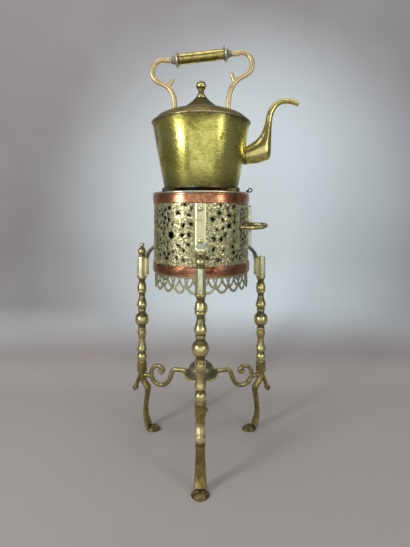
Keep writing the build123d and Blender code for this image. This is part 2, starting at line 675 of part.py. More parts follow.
def arm():
    """One scrolled arm of the stretcher, with its curl and the stub that enters the leg."""
    flat = BOSS_RIM_HEIGHT + 2.4
    dip = ARM_DIP_HEIGHT
    curl = ARM_CURL_TOP
    outer = LEG_CIRCLE - 21
    inner = LEG_CIRCLE - 49
    stub_height = BLOCK_BOTTOM - 5
    path = [
        (BOSS_R - 8, flat), (BOSS_R + 26, flat), (BOSS_R + 35, dip + 1), (outer - 10, dip), (outer, BLOCK_BOTTOM),
        (outer - 5, curl), (inner, curl), (inner, curl - 12), (inner + 8, curl - 11),
    ]
    bar = bent_bar(path, [5, 12, 17, 15, 12, 9.5, 3.2], ARM_HALF_THICKNESS, ARM_HALF_WIDTH)
    bar += Pos(inner + 8.5, 0, curl - 10.4) * Sphere(ARM_CURL_BALL_R)
    stub = rod_between((outer - 2, 0, stub_height), (LEG_CIRCLE - 2, 0, stub_height), ARM_STUB_R)
    stub += Pos(outer + 4.5, 0, stub_height) * Sphere(ARM_STUB_R + 1.8)
    return bar + stub


def fitted_arm(azimuth, boss_solid, foot_solid):
    """An arm cut back to the boss and to the leg that it joins."""
    return at_azimuth(arm() - boss_solid - foot_solid, azimuth)


# ================================================================ kettle
def shoulder_curve(offset):
    """Points of the shoulder's outer line, lowered by an offset."""
    return [
        (KETTLE_SHOULDER_R - offset, SHOULDER_HEIGHT),
        (KETTLE_SHOULDER_R - 12.5 - offset * 0.7, SHOULDER_HEIGHT + 0.43 * SHOULDER_RISE - offset * 0.7),
        (KETTLE_SHOULDER_R - 32.0, SHOULDER_HEIGHT + 0.74 * SHOULDER_RISE - offset),
        (NECK_R, NECK_TOP - 0.8 - offset),
    ]


def wall_curve(offset):
    """Points of the kettle wall's outer line, moved in by an offset."""
    flare = KETTLE_SHOULDER_R - KETTLE_WALL_BASE_R
    rise = SHOULDER_HEIGHT - PAN_TOP
    return [
        (KETTLE_WALL_BASE_R - offset, PAN_TOP + TOUCH),
        (KETTLE_WALL_BASE_R + 0.53 * flare - offset, PAN_TOP + 0.49 * rise),
        (KETTLE_WALL_BASE_R + 0.82 * flare - offset, PAN_TOP + 0.81 * rise),
        (KETTLE_SHOULDER_R - offset, SHOULDER_HEIGHT - BEAD_R),
    ]


def shell_between(outer, inner):
    """A turned shell between two smooth lines of (radius, height) points."""
    outer_edge = Spline(*[(r, 0, z) for r, z in outer])
    inner_edge = Spline(*[(r, 0, z) for r, z in inner])
    top = Line(outer_edge @ 1, inner_edge @ 1)
    bottom = Line(outer_edge @ 0, inner_edge @ 0)
    return revolve(make_face(Curve() + [outer_edge, top, inner_edge, bottom]), Axis.Z, 360)


def plug_under(curve, foot_height):
    """The solid between a smooth line of (radius, height) points and the axis."""
    edge = Spline(*[(r, 0, z) for r, z in curve])
    low, high = curve[0], curve[-1]
    outline = [
        edge, Line((high[0], 0, high[1]), (0, 0, high[1])), Line((0, 0, high[1]), (0, 0, foot_height)),
        Line((0, 0, foot_height), (low[0], 0, foot_height)),
    ]
    if foot_height != low[1]:
        outline.append(Line((low[0], 0, foot_height), (low[0], 0, low[1])))
    return revolve(make_face(Curve() + outline), Axis.Z, 360)


SPOUT_TRUNK = (
    # x, height, lean, half height, half width
    (74.0, 564.5, 3, 15.4, 15.2), (84.0, 565.6, 5, 16.6, 16.0), (95.0, 568.4, 6, 18.9, 16.6),
    (107.0, 572.6, 11, 21.6, 17.0), (117.5, 577.2, 20, 23.2, 16.8), (124.2, 581.2, 28, 24.4, 16.4),
    (127.4, 587.0, 33, 21.8, 15.6), (129.0, 595.2, 39, 17.6, 14.2), (130.6, 604.6, 52, 12.6, 12.4),
)
SPOUT_NECK = (
    (130.2, 602.6, 49, 12.1, 12.1), (132.2, 615.4, 68, 9.4, 10.4), (134.6, 631.0, 84, 7.2, 8.2),
    (137.8, 649.0, 76, 6.6, 7.2), (142.0, 659.4, 62, 6.3, 6.8), (149.0, 668.4, 41, 5.9, 6.4),
    (158.5, 674.4, 20, 5.5, 6.1), (172.0, 676.4, 0, 5.2, 5.9), (186.0, 674.0, -15, 5.2, 5.8),
    (199.0, 669.6, -20, 5.3, 5.8),
)


def spout_solid(inset):
    """The spout as one solid, with every section drawn in by an inset."""
    trunk = lofted_bar([(x, z, lean, t - inset, w - inset) for x, z, lean, t, w in SPOUT_TRUNK], ruled=True)
    neck = lofted_bar([(x, z, lean, t - inset, w - inset) for x, z, lean, t, w in SPOUT_NECK])
    return trunk + neck


def spout():
    """The swan-neck spout with its open beak."""
    tube = spout_solid(0) - spout_solid(SPOUT_WALL)
    tube -= plug_under(wall_curve(-TOUCH), PAN_TOP)
    tip = Box(60, 60, 60, align=(Align.MIN, Align.CENTER, Align.CENTER))
    tip = Pos(SPOUT_TIP_X, 0, SPOUT_TIP_HEIGHT) * Rot(0, 12, 0) * tip
    notch = Polyline(
        (SPOUT_TIP_X - SPOUT_NOTCH, SPOUT_TIP_HEIGHT + 0.6),
        (SPOUT_TIP_X + 2, SPOUT_TIP_HEIGHT + SPOUT_NOTCH_HALF),
        (SPOUT_TIP_X + 2, SPOUT_TIP_HEIGHT - SPOUT_NOTCH_HALF), close=True)
    beak = extrude(Plane.XZ * make_face(notch), 20, both=True)
    return tube - tip - beak


def kettle_body():
    """The raised wall of the kettle, pierced for the spout."""
    shell = shell_between(wall_curve(0), wall_curve(KETTLE_WALL))
    root = spout_solid(SPOUT_WALL)
    return shell - root


def kettle_base():
    """The flat bottom pan with its turned-up lip."""
    lip_r = KETTLE_WALL_BASE_R + LIP_FLARE
    lip_top = KETTLE_BASE + PAN_LIP
    profile = [
        (0, KETTLE_BASE), (KETTLE_BASE_R - 1.2, KETTLE_BASE), (KETTLE_BASE_R, KETTLE_BASE + 1.2),
        (KETTLE_BASE_R, lip_top), (lip_r, lip_top), (lip_r, PAN_TOP), (0, PAN_TOP),
    ]
    return turned(profile)


def kettle_shoulder():
    """The domed top of the kettle, with the hole for the lid."""
    return shell_between(shoulder_curve(0), shoulder_curve(KETTLE_WALL))


def seam_bead():
    """The rolled seam between the wall and the shoulder."""
    middle = SHOULDER_HEIGHT - BEAD_R / 2
    bead = Pos(0, 0, middle) * Torus(KETTLE_SHOULDER_R + 0.4, BEAD_R)
    inside = ring(1, KETTLE_SHOULDER_R + TOUCH, SHOULDER_HEIGHT - 10, SHOULDER_HEIGHT + 10)
    return bead - inside


def neck_ring():
    """The ring that lines the mouth of the kettle."""
    outer = NECK_R - TOUCH
    return ring(outer - NECK_SHEET, outer, NECK_TOP - NECK_DEPTH, NECK_TOP)


# ================================================================ handle
def grip_line(x):
    """Height of the grip's axis at a distance from the axis of the kettle."""
    return GRIP_HEIGHT + x * tan(radians(GRIP_TILT))


def on_grip(shape):
    """Place a shape that was turned about Z onto the tilted axis of the grip."""
    return Pos(0, 0, GRIP_HEIGHT) * Rot(0, 90 - GRIP_TILT, 0) * shape


def shoulder_height_at(x):
    """Height of the kettle's shoulder at a distance from its axis."""
    edge = Spline(*[(r, 0, z) for r, z in shoulder_curve(0)])
    low, high = 0.0, 1.0
    for _ in range(30):
        middle = (low + high) / 2
        if (edge @ middle).X > x:
            low = middle
        else:
            high = middle
    return (edge @ low).Z


def scroll(side):
    """One cast scroll of the handle; side is +1 by the spout and -1 opposite."""
    base = shoulder_height_at(SCROLL_FOOT_X)
    inner_x = GRIP_HALF + FERRULE_LENGTH
    level = GRIP_HEIGHT - base
    stretch = (grip_line(side * inner_x) - base) / level
    knee = base + SCROLL_KNEE_RISE * stretch
    loop = base + SCROLL_LOOP_RISE * stretch
    end_x = inner_x * cos(radians(GRIP_TILT))
    corners = [
        (end_x, grip_line(side * end_x)), (SCROLL_OUTER_X, grip_line(side * SCROLL_OUTER_X)),
        (SCROLL_OUTER_X, loop), (SCROLL_FOOT_X, knee), (SCROLL_FOOT_X, base - 4),
    ]
    radii = [SCROLL_LOOP_R, SCROLL_LOOP_R, SCROLL_STEM_BEND_R]
    bar = bent_bar(corners, radii, SCROLL_HALF_THICKNESS, SCROLL_HALF_WIDTH)
    slope = (loop - knee) / (SCROLL_OUTER_X - SCROLL_FOOT_X)
    root_low = knee + slope * 9
    root_high = knee + slope * 26
    thorn = Polyline(
        (SCROLL_FOOT_X + 9, root_low), (SCROLL_FOOT_X + 26, root_high), (SCROLL_FOOT_X + 17, root_high + 4.5),
        (SCROLL_FOOT_X + 6.5, knee + 24), (SCROLL_FOOT_X + 2.8, knee + 19.5), close=True)
    bar += extrude(Plane.XZ * make_face(thorn), THORN_WIDTH / 2, both=True)
    flare_top = base + SCROLL_FOOT_HEIGHT + 3
    flare = turned([
        (0, base - 4), (SCROLL_FOOT_R, base - 4), (SCROLL_FOOT_R, base + 1.2),
        (SCROLL_HALF_WIDTH + 1.6, base + 2.6, SCROLL_HALF_WIDTH + 0.8, flare_top), (0, flare_top)], SCROLL_FOOT_X)
    casting = bar + flare
    if side < 0:
        casting = mirror(casting, Plane.YZ)
    return casting - plug_under(shoulder_curve(-TOUCH), SHOULDER_HEIGHT - 20)


def ferrule(side):
    """The bell-shaped ferrule at one end of the grip."""
    outer = GRIP_HALF + FERRULE_LENGTH - TOUCH
    face = GRIP_HALF - 1.5
    bore = GRIP_ROD_R + PIN_FIT
    socket = GRIP_R + TOUCH
    profile = [
        (bore, GRIP_HALF + TOUCH), (socket, GRIP_HALF + TOUCH), (socket, face), (GRIP_R + 1.6, face),
        (FLANGE_R - 1.5, face + 1.6), (FLANGE_R, face + 3.4, FLANGE_R - 1.4, face + FLANGE_THICKNESS),
        (FERRULE_NECK_R + 1.6, face + 9, FERRULE_NECK_R, outer), (bore, outer),
    ]
    bell = turned(profile)
    if side < 0:
        bell = mirror(bell, Plane.XY)
    return on_grip(bell)


def grip_sleeve():
    """The brass sleeve that the hand holds."""
    return on_grip(ring(GRIP_R - GRIP_WALL, GRIP_R, -GRIP_HALF, GRIP_HALF))


def grip_rod():
    """The rod inside the sleeve, which carries the two ferrules."""
    half = GRIP_HALF + FERRULE_LENGTH - TOUCH
    return on_grip(Cylinder(GRIP_ROD_R, 2 * half))


def handle_studs():
    """The rivets inside the shoulder under each foot, and the loose stud beside the spout."""
    base = shoulder_height_at(SCROLL_FOOT_X)
    studs = []
    for side in (-1, 1):
        head = Pos(side * SCROLL_FOOT_X, 0, base - KETTLE_WALL - 3.5) * Cylinder(
            STUD_R, 4, align=(Align.CENTER, Align.CENTER, Align.MAX))
        head += Pos(side * SCROLL_FOOT_X, 0, base - KETTLE_WALL - 3.6) * Cylinder(
            STUD_R - 1.4, 3, align=ON_BASE)
        studs.append(head - shell_between(shoulder_curve(-TOUCH), shoulder_curve(KETTLE_WALL + TOUCH)))
    dome = Pos(LOOSE_STUD_X, 0, shoulder_height_at(LOOSE_STUD_X)) * Sphere(STUD_R)
    studs.append(dome - plug_under(shoulder_curve(-TOUCH), SHOULDER_HEIGHT - 20))
    return studs


# ================================================================ lid
def lid_cover():
    """The low conical lid."""
    seat = LID_SEAT
    skirt_r = NECK_R - NECK_SHEET - SIDE_GAP
    top = KNOB_FOOT - TOUCH
    rise = top - seat
    profile = [
        (skirt_r, seat), (LID_R - 0.6, seat), (LID_R, seat + 0.8, LID_R - 0.8, seat + LID_SHEET),
        (0.9 * LID_R, seat + 0.15 * rise), (0.6 * LID_R, seat + 0.46 * rise),
        (0.43 * LID_R, seat + 0.7 * rise, 0.34 * LID_R, top), (0, top), (0, top - LID_SHEET),
        (0.31 * LID_R, top - LID_SHEET), (0.57 * LID_R, seat + 0.46 * rise - LID_SHEET),
        (skirt_r, seat + LID_SHEET * 0.6),
    ]
    return turned(profile)


def lid_collar():
    """The ring under the lid that drops into the mouth of the kettle."""
    outer = NECK_R - NECK_SHEET - SIDE_GAP - TOUCH
    return ring(outer - LID_SHEET, outer, LID_SEAT - LID_COLLAR_DEPTH, LID_SEAT + LID_SHEET * 0.6 - TOUCH)


def lid_knob():
    """The turned knob of the lid."""
    low = KNOB_FOOT
    profile = [
        (0, low), (10.6, low), (11.0, low + 1.2), (11.0, low + 2.4), (8.8, low + 3.4), (8.6, low + 5.6),
        (8.8, low + 6.6), (7.2, low + 7.4), (5.6, low + 13.5, 7.2, low + 19.2),
        (KNOB_R, low + 23.6, 9.4, low + 27.6),
        (8.9, low + 28.6), (8.9, low + 29.8), cap(8.9, KNOB_TOP - low - 29.8, KNOB_TOP),
    ]
    return turned(profile)


# ================================================================ spirit burner
def burner_font():
    """The squat spirit reservoir, hollow inside."""
    base = BURNER_BASE
    top = base + FONT_HEIGHT
    neck = BURNER_NECK_R
    w = FONT_WALL
    profile = [
        (0, base), (FONT_R - 4, base), (FONT_R, base + 12, FONT_R - 6, top - 8), (neck, top), (neck - 3, top),
        (neck - 3, top - w), (neck, top - w - 0.4), (FONT_R - 6 - w, top - 8 - w),
        (FONT_R - w, base + 12, FONT_R - 4 - w, base + w), (0, base + w),
    ]
    return turned(profile)


def burner_collar():
    """The screwed collar with the wick tube."""
    top = BURNER_BASE + FONT_HEIGHT + TOUCH
    inner = WICK_TUBE_R - WICK_TUBE_WALL
    profile = [
        (inner, top - 14), (WICK_TUBE_R, top - 14), (WICK_TUBE_R, top), (BURNER_NECK_R + 1, top),
        (BURNER_NECK_R + 1, top + 5), (WICK_TUBE_R + 1, top + 7), (WICK_TUBE_R, top + 8),
        (WICK_TUBE_R, top + WICK_TUBE_HEIGHT), (inner, top + WICK_TUBE_HEIGHT),
    ]
    return turned(profile)


def wick():
    """The cotton wick."""
    low = BURNER_BASE + FONT_WALL + 2
    high = BURNER_BASE + FONT_HEIGHT + WICK_TUBE_HEIGHT + WICK_PROUD
    radius = WICK_TUBE_R - WICK_TUBE_WALL - TOUCH
    return Pos(0, 0, low) * Cylinder(radius, high - low, align=ON_BASE)


# ================================================================ write every piece
write("gallery_sheet", gallery_sheet())
write("top_band", top_band())
write("low_band", low_band())
write("rim_wire", rim_wire())
write("skirt", skirt())
write("burner_shelf", burner_shelf())
write("kettle_rests", Compound(children=[kettle_rest(azimuth) for azimuth in REST_AZIMUTHS]))
write("rim_lug", rim_lug())
write("frame_leaf", frame_leaf())
write("hinge_pin", hinge_pin())

write("door_panel", door_panel())
strip_solid = door_strip()
write("door_strip", strip_solid)
write("door_leaf", door_leaf())
write("pull_loop", pull_loop(strip_solid))

boss_solid = boss()
foot_solid = foot()
rivets = []
rods = []
for name, azimuth in LEG_AZIMUTHS.items():
    write(f"strap_{name}", at_azimuth(strap(), azimuth))
    write(f"post_{name}", at_azimuth(post(), azimuth))
    write(f"baluster_{name}", at_azimuth(baluster(), azimuth))
    own_foot = placed_foot(foot_solid, name)
    write(f"foot_{name}", at_azimuth(own_foot, azimuth))
    write(f"arm_{name}", fitted_arm(azimuth, boss_solid, own_foot))
    rivets += strap_rivets(azimuth)
    rods.append(at_azimuth(tie_rod(), azimuth))
    if name in FINIAL_LEGS:
        write(f"finial_{name}", at_azimuth(finial(), azimuth))
write("strap_rivets", Compound(children=rivets))
write("tie_rods", Compound(children=rods))
write("boss", boss_solid)
write("boss_screw", boss_screw())

write("kettle_body", kettle_body())
write("kettle_base", kettle_base())
write("kettle_shoulder", kettle_shoulder())
write("seam_bead", seam_bead())
write("neck_ring", neck_ring())
write("spout", spout())
write("scroll_spout_side", scroll(1))
write("scroll_far_side", scroll(-1))
write("ferrule_spout_side", ferrule(1))
write("ferrule_far_side", ferrule(-1))
write("grip_sleeve", grip_sleeve())
write("grip_rod", grip_rod())
write("handle_studs", Compound(children=handle_studs()))

write("lid_cover", lid_cover())
write("lid_collar", lid_collar())
write("lid_knob", lid_knob())

write("burner_font", burner_font())
write("burner_collar", burner_collar())
write("wick", wick())
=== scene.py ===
"""Spirit kettle on a four-legged gallery stand: its surfaces, finishes, studio and camera.

All sizes are in millimetres and turned into metres where a mesh is made. The origin is at floor
level on the axis of the stand, +Z is up, +X points along the spout and -Y is the front.
"""

import logging
import math
from dataclasses import dataclass, field
from enum import Enum
from typing import Callable, ClassVar, Mapping, Optional, Sequence, Union

import bmesh
import bpy
import numpy as np
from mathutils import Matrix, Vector


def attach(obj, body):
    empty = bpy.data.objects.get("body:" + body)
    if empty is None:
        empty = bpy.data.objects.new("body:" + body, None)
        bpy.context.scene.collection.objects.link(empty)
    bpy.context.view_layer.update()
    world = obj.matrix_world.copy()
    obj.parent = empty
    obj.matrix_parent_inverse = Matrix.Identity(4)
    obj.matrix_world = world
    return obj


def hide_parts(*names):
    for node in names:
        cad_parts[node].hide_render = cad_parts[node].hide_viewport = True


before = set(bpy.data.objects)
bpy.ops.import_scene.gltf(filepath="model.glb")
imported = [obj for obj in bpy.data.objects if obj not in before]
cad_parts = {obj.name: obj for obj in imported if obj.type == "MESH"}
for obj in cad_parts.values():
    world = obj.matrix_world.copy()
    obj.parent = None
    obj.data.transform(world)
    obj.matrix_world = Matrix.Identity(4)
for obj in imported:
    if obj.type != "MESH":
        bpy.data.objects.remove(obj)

LOG = logging.getLogger("spirit_kettle")
MM = 0.001
TURN = 2.0 * math.pi
SEED = 11
SAME_PLACE = 1e-6
SHARP_EDGE = 38.0
OCTAGON_CORNER = 1.0 / math.cos(math.pi / 8)

Array = np.ndarray
Socket = bpy.types.NodeSocket
Points = Sequence[Sequence[float]]
Pair = tuple[float, float]
Triple = tuple[float, float, float]
Thing = bpy.types.Object
Number = Union[float, "Value"]
Options = Mapping[object, object]


# ---- lines and grids
def smooth_line(points: Points, per_span: int = 6) -> Array:
    """A Catmull-Rom line through points.

    Each span is the cubic that passes through its two ends, with the slope at each end equal to
    half the chord between the end's neighbours.

    Args:
        points: The points that the line passes through, of any dimension.
        per_span: Samples on each span.

    Returns:
        The sampled line, one row per sample.
    """
    p = np.asarray(points, float)
    padded = np.vstack([2 * p[0] - p[1], p, 2 * p[-1] - p[-2]])[:, None, :]
    before, start, end, after = padded[:-3], padded[1:-2], padded[2:-1], padded[3:]
    t = np.linspace(0.0, 1.0, per_span, endpoint=False)[None, :, None]
    line = 0.5 * (
        2 * start + (end - before) * t
        + (2 * before - 5 * start + 4 * end - after) * t ** 2
        + (3 * start - before - 3 * end + after) * t ** 3
    )
    return np.vstack([line.reshape(-1, p.shape[1]), p[-1]])


def outline(*runs: Points, per_span: int = 6) -> Array:
    """One profile made of smooth runs that meet in corners.

    Args:
        *runs: Lists of points. Each run after the first one starts where the last one ended, and a
            run from one point to the next is a straight line.
        per_span: Samples between two points of a smooth run.

    Returns:
        The whole profile, with doubled points left out.
    """
    line = np.asarray(runs[0][:1], float)
    for run in runs:
        points = np.vstack([line[-1:], np.asarray(run, float)])
        points = points[1:] if len(line) == 1 else points
        line = np.vstack([line, points if len(points) == 2 else smooth_line(points, per_span)])
    step = np.linalg.norm(np.diff(line, axis=0), axis=1)
    return line[np.concatenate([[True], step > SAME_PLACE])]


def at_level(level: float, *runs: Points) -> list[Points]:
    """Runs of points whose heights are counted from a level, with the level added."""
    return [[(reach, level + height) for reach, height in run] for run in runs]


def grid_faces(rows: int, columns: int, close_columns: bool = True) -> list[list[int]]:
    """The quads of a grid of points, row by row.

    Args:
        rows: Number of rows of points.
        columns: Number of points in a row.
        close_columns: True where the last column joins the first.

    Returns:
        Point numbers of each quad.
    """
    across = columns if close_columns else columns - 1
    row, column = np.meshgrid(np.arange(rows - 1), np.arange(across), indexing="ij")
    right = (column + 1) % columns
    quads = stacked(
        row * columns + column, row * columns + right,
        (row + 1) * columns + right, (row + 1) * columns + column)
    return quads.reshape(-1, 4).tolist()


def stacked(*columns: Array) -> Array:
    """Arrays as the last columns of one array."""
    return np.stack(columns, axis=-1)


def angles(count: int) -> Array:
    """So many angles spread evenly over one turn, from 0."""
    return np.linspace(0.0, TURN, count, endpoint=False)


def bell(values: Array, centre: float, width: float, power: int = 2) -> Array:
    """1 at the centre, and the exponential of less the distance over the width, to a power."""
    return np.exp(-((values - centre) / width) ** power)


def steps(low: float, high: float, pitch: float) -> Array:
    """Even steps from low to high, about a pitch apart."""
    return np.linspace(low, high, int((high - low) / pitch) + 1)


def from_axis(points: Array) -> Array:
    """How far each point lies from the axis of the stand."""
    return np.hypot(points[:, 0], points[:, 1])


def azimuth_of(points: Array) -> Array:
    """The azimuth of each point in degrees."""
    return np.degrees(np.arctan2(points[:, 1], points[:, 0]))


def ripple(first: Array, second: Array, seed: int, waves: int = 7) -> Array:
    """A soft uneven field between about -1 and 1, as hand-beaten sheet has.

    It is the mean of cosines of whole-number turns in the first parameter and of random
    frequency in the second, each with its own phase.

    Args:
        first: An angle in radians.
        second: A second parameter, about 0 to 1 over the piece.
        seed: Number that fixes the random choices.
        waves: How many cosines are added.

    Returns:
        The field at each place.
    """
    rng = np.random.default_rng(seed)
    turns = rng.integers(1, 9, waves)
    rates = rng.uniform(0.5, 9.0, waves)
    phases = rng.uniform(0.0, TURN, (2, waves))
    total = sum(
        np.cos(turn * first + phase_a) * np.cos(rate * second + phase_b)
        for turn, rate, phase_a, phase_b in zip(turns, rates, phases[0], phases[1])
    )
    return total / math.sqrt(waves)


def depth_below_ridges(profile: Array, reach: float = 9.0, depth: float = 3.5) -> Array:
    """How far each point of a turned profile lies below the ridges beside it.

    It is the largest radius within reach along the profile, less the point's own radius, over depth.

    Args:
        profile: Radius and height of each point.
        reach: How far along the profile a ridge counts.
        depth: The depth that gives 1.

    Returns:
        A number from 0 on a ridge to 1 in a deep groove.
    """
    step = np.linalg.norm(np.diff(profile, axis=0), axis=1)
    along = np.concatenate([[0.0], np.cumsum(step)])
    near = np.abs(along[:, None] - along[None, :]) < reach
    ridge = np.where(near, profile[None, :, 0], 0.0).max(axis=1)
    return np.clip((ridge - profile[:, 0]) / depth, 0.0, 1.0)


# ---- making pieces
class Body(Enum):
    """The parts of the kettle and stand that move on their own."""

    STAND = "stand"
    DOOR = "door"
    KETTLE = "kettle"
    LID = "lid"
    BURNER = "burner"


@dataclass(frozen=True)
class Stand:
    """A local set of axes: the plane that a bent bar lies in, and the way across it."""

    origin: Triple = (0.0, 0.0, 0.0)
    along: Triple = (1.0, 0.0, 0.0)
    up: Triple = (0.0, 0.0, 1.0)
    across: Triple = (0.0, 1.0, 0.0)

    def place(self, along: Array, up: Array, across: Array) -> Array:
        """Points in the row frame from their three local numbers."""
        parts = ((along, self.along), (up, self.up), (across, self.across))
        return np.asarray(self.origin) + sum(np.asarray(n)[..., None] * np.asarray(axis) for n, axis in parts)


def radial_plane(azimuth: float) -> Stand:
    """The upright plane through the axis of the stand at an azimuth in degrees."""
    turn = math.radians(azimuth)
    return Stand(along=(math.cos(turn), math.sin(turn), 0.0), across=(-math.sin(turn), math.cos(turn), 0.0))


@dataclass
class Shape:
    """A computed surface before it becomes an object: points in millimetres, faces and marks."""

    points: Array
    faces: list
    marks: dict[str, Array] = field(default_factory=dict)

    def joined(self, other: "Shape") -> "Shape":
        """This shape and another one as one shape of separate shells.

        Args:
            other: The other shape.

        Returns:
            The two together.
        """
        shift = len(self.points)
        names = set(self.marks) | set(other.marks)
        marks = {
            name: np.concatenate([
                self.marks.get(name, np.zeros(shift)), other.marks.get(name, np.zeros(len(other.points)))])
            for name in names
        }
        faces = list(self.faces) + [[index + shift for index in face] for face in other.faces]
        return Shape(np.vstack([self.points, other.points]), faces, marks)

    def marked(self, name: str, values: Callable[[Array], Array]) -> "Shape":
        """The shape with one more mark, worked out from its points."""
        self.marks[name] = np.clip(values(self.points), 0.0, 1.0)
        return self

    def plain(self) -> "Shape":
        """The shape with no place marked as hollow."""
        self.marks["hollow"] = np.zeros(len(self.points))
        return self

    def mesh(self, name: str) -> bpy.types.Mesh:
        """The shape as a mesh in metres, without its marks.

        Args:
            name: Name of the mesh.

        Returns:
            The mesh.
        """
        mesh = bpy.data.meshes.new(name)
        mesh.from_pydata((self.points * MM).tolist(), [], [tuple(face) for face in self.faces])
        return mesh


def put_in_scene(name: str, data: bpy.types.ID) -> Thing:
    """Makes an object of a mesh, a light or a camera and puts it in the scene.

    Args:
        name: Name of the object.
        data: What it holds.

    Returns:
        The object.
    """
    made = bpy.data.objects.new(name, data)
    bpy.context.scene.collection.objects.link(made)
    return made


def turned(
    profile: Array, segments: int = 72, centre: Pair = (0.0, 0.0),
    dent: float = 0.0, seed: int = SEED, groove: float = 3.5, start: float = 0.0,
) -> Shape:
    """A surface turned round an upright axis.

    A point is at (radius cos u, radius sin u, height) from the axis, with u the angle, and
    dents add a ripple to the radius.

    Args:
        profile: Radius and height of each point of the profile.
        segments: Points round the axis.
        centre: Where the axis stands.
        dent: Height of the ripple.
        seed: Number that fixes the ripple.
        groove: Depth of a groove that counts as fully hollow.
        start: Angle of the first point, in radians.

    Returns:
        The shape, marked with how hollow each place is.
    """
    angle = start + angles(segments)
    radius, height = profile[:, 0][:, None], profile[:, 1][:, None]
    span = max(float(np.ptp(profile[:, 1])), 1e-6)
    level = (height - profile[:, 1].min()) / span
    if dent:
        radius = radius + dent * ripple(angle[None, :], level, seed) * (radius > 2.0)
    radius = radius + np.zeros_like(angle)[None, :]
    points = stacked(
        centre[0] + radius * np.cos(angle), centre[1] + radius * np.sin(angle),
        height + np.zeros_like(radius)).reshape(-1, 3)
    hollow = np.repeat(depth_below_ridges(profile, depth=groove), segments)
    return Shape(points, grid_faces(len(profile), segments), {"hollow": hollow})


def round_section(points: int = 16) -> Array:
    """A circle of radius 1, as pairs of the cosine and sine of the angle."""
    angle = angles(points)
    return stacked(np.cos(angle), np.sin(angle))


def square_section(points: int = 24, power: float = 4.0) -> Array:
    """A square with round corners: each of the cosine and sine taken to the power 2 / power."""
    circle = round_section(points)
    return np.sign(circle) * np.abs(circle) ** (2.0 / power)


# A flat bar from -1 to 1 each way, with its two outer edges cut to a slope.
BEVELLED_BAR = np.array([
    (-1, -1), (-1, 0), (-1, 1), (0.4, 1), (0.92, 0.8), (1, 0.73),
    (1, 0), (1, -0.73), (0.92, -0.8), (0.4, -1)])
# Half of a rounded bar with flat flanks, and the whole bar with a ridge along its outer side.
FLANK = ((-0.92, 0.45), (-0.62, 0.82), (-0.1, 1.0), (0.42, 0.86), (0.82, 0.38), (0.95, 0.14))
KEELED_BAR = np.array([(-1.0, 0.0), *FLANK, (1.0, 0.0), *((deep, -side) for deep, side in FLANK[::-1])])


def swept(
    path: Array, thick: Array, wide: Array, section: Array, stand: Stand,
    domed: tuple[bool, bool] = (True, True), lean: Optional[Array] = None, capped: bool = True,
) -> Shape:
    """A bar whose section is carried along a flat path.

    A point is the path's point, plus the path's normal times the half thickness and the first
    number of the section, plus the way across times the half width and the second number.

    Args:
        path: Points of the centre line in the plane of the stand.
        thick: Half thickness at each point, in the plane.
        wide: Half width at each point, across the plane.
        section: Pairs of numbers from -1 to 1 round the section.
        stand: The plane that the path lies in.
        domed: True for the start, and for the end, where it is domed and not flat.
        lean: Direction that each section faces, in radians up from the way along; without it
            the sections face along the path.
        capped: True where the two ends are closed.

    Returns:
        The shape.
    """
    thick = np.broadcast_to(np.asarray(thick, float), (len(path),)).copy()
    wide = np.broadcast_to(np.asarray(wide, float), (len(path),)).copy()
    tangent = np.gradient(path, axis=0) if lean is None else stacked(np.cos(lean), np.sin(lean))
    tangent /= np.linalg.norm(tangent, axis=1)[:, None]
    scale = np.ones(len(path))
    for at_start, round_end in zip((True, False), domed) if capped else ():
        bend = np.radians([35.0, 62.0, 80.0, 90.0] if round_end else [90.0])
        count, kept = len(bend), len(path)
        rows = (np.arange(kept + count) - (count if at_start else 0)).clip(0, kept - 1)
        path, tangent, thick, wide, scale = (values[rows] for values in (path, tangent, thick, wide, scale))
        new = np.arange(count)[::-1] if at_start else np.arange(kept, kept + count)
        reach = (thick[new] if round_end else 0.0) * np.sin(bend) * (-1.0 if at_start else 1.0)
        path[new] += reach[:, None] * tangent[new]
        scale[new] = np.cos(bend)
    normal = stacked(-tangent[:, 1], tangent[:, 0])
    offset = (scale * thick)[:, None] * section[None, :, 0]
    along = path[:, 0][:, None] + normal[:, 0][:, None] * offset
    up = path[:, 1][:, None] + normal[:, 1][:, None] * offset
    across = (scale * wide)[:, None] * section[None, :, 1]
    points = stand.place(along, up, across).reshape(-1, 3)
    return Shape(points, grid_faces(len(path), len(section)))


def ball(centre: Array, radius: float) -> Shape:
    """A ball: the radius times the cosines and sines of the angle round it and of the one from its top.

    Args:
        centre: Its middle.
        radius: Its radius.

    Returns:
        The shape.
    """
    rows, columns = 14, 24
    polar = np.linspace(0.0, math.pi, rows)[:, None]
    angle = angles(columns)[None, :]
    unit = stacked(
        np.sin(polar) * np.cos(angle), np.sin(polar) * np.sin(angle), np.cos(polar) + 0.0 * angle)
    return Shape((centre + unit * radius).reshape(-1, 3), grid_faces(rows, columns))


def crossing(near: Array, far: Array) -> Array:
    """Where a field is 0 between two places, as a share of the way that is kept off both ends."""
    return np.clip(near / np.where(np.abs(near - far) < 1e-9, 1.0, near - far), 0.06, 0.94)


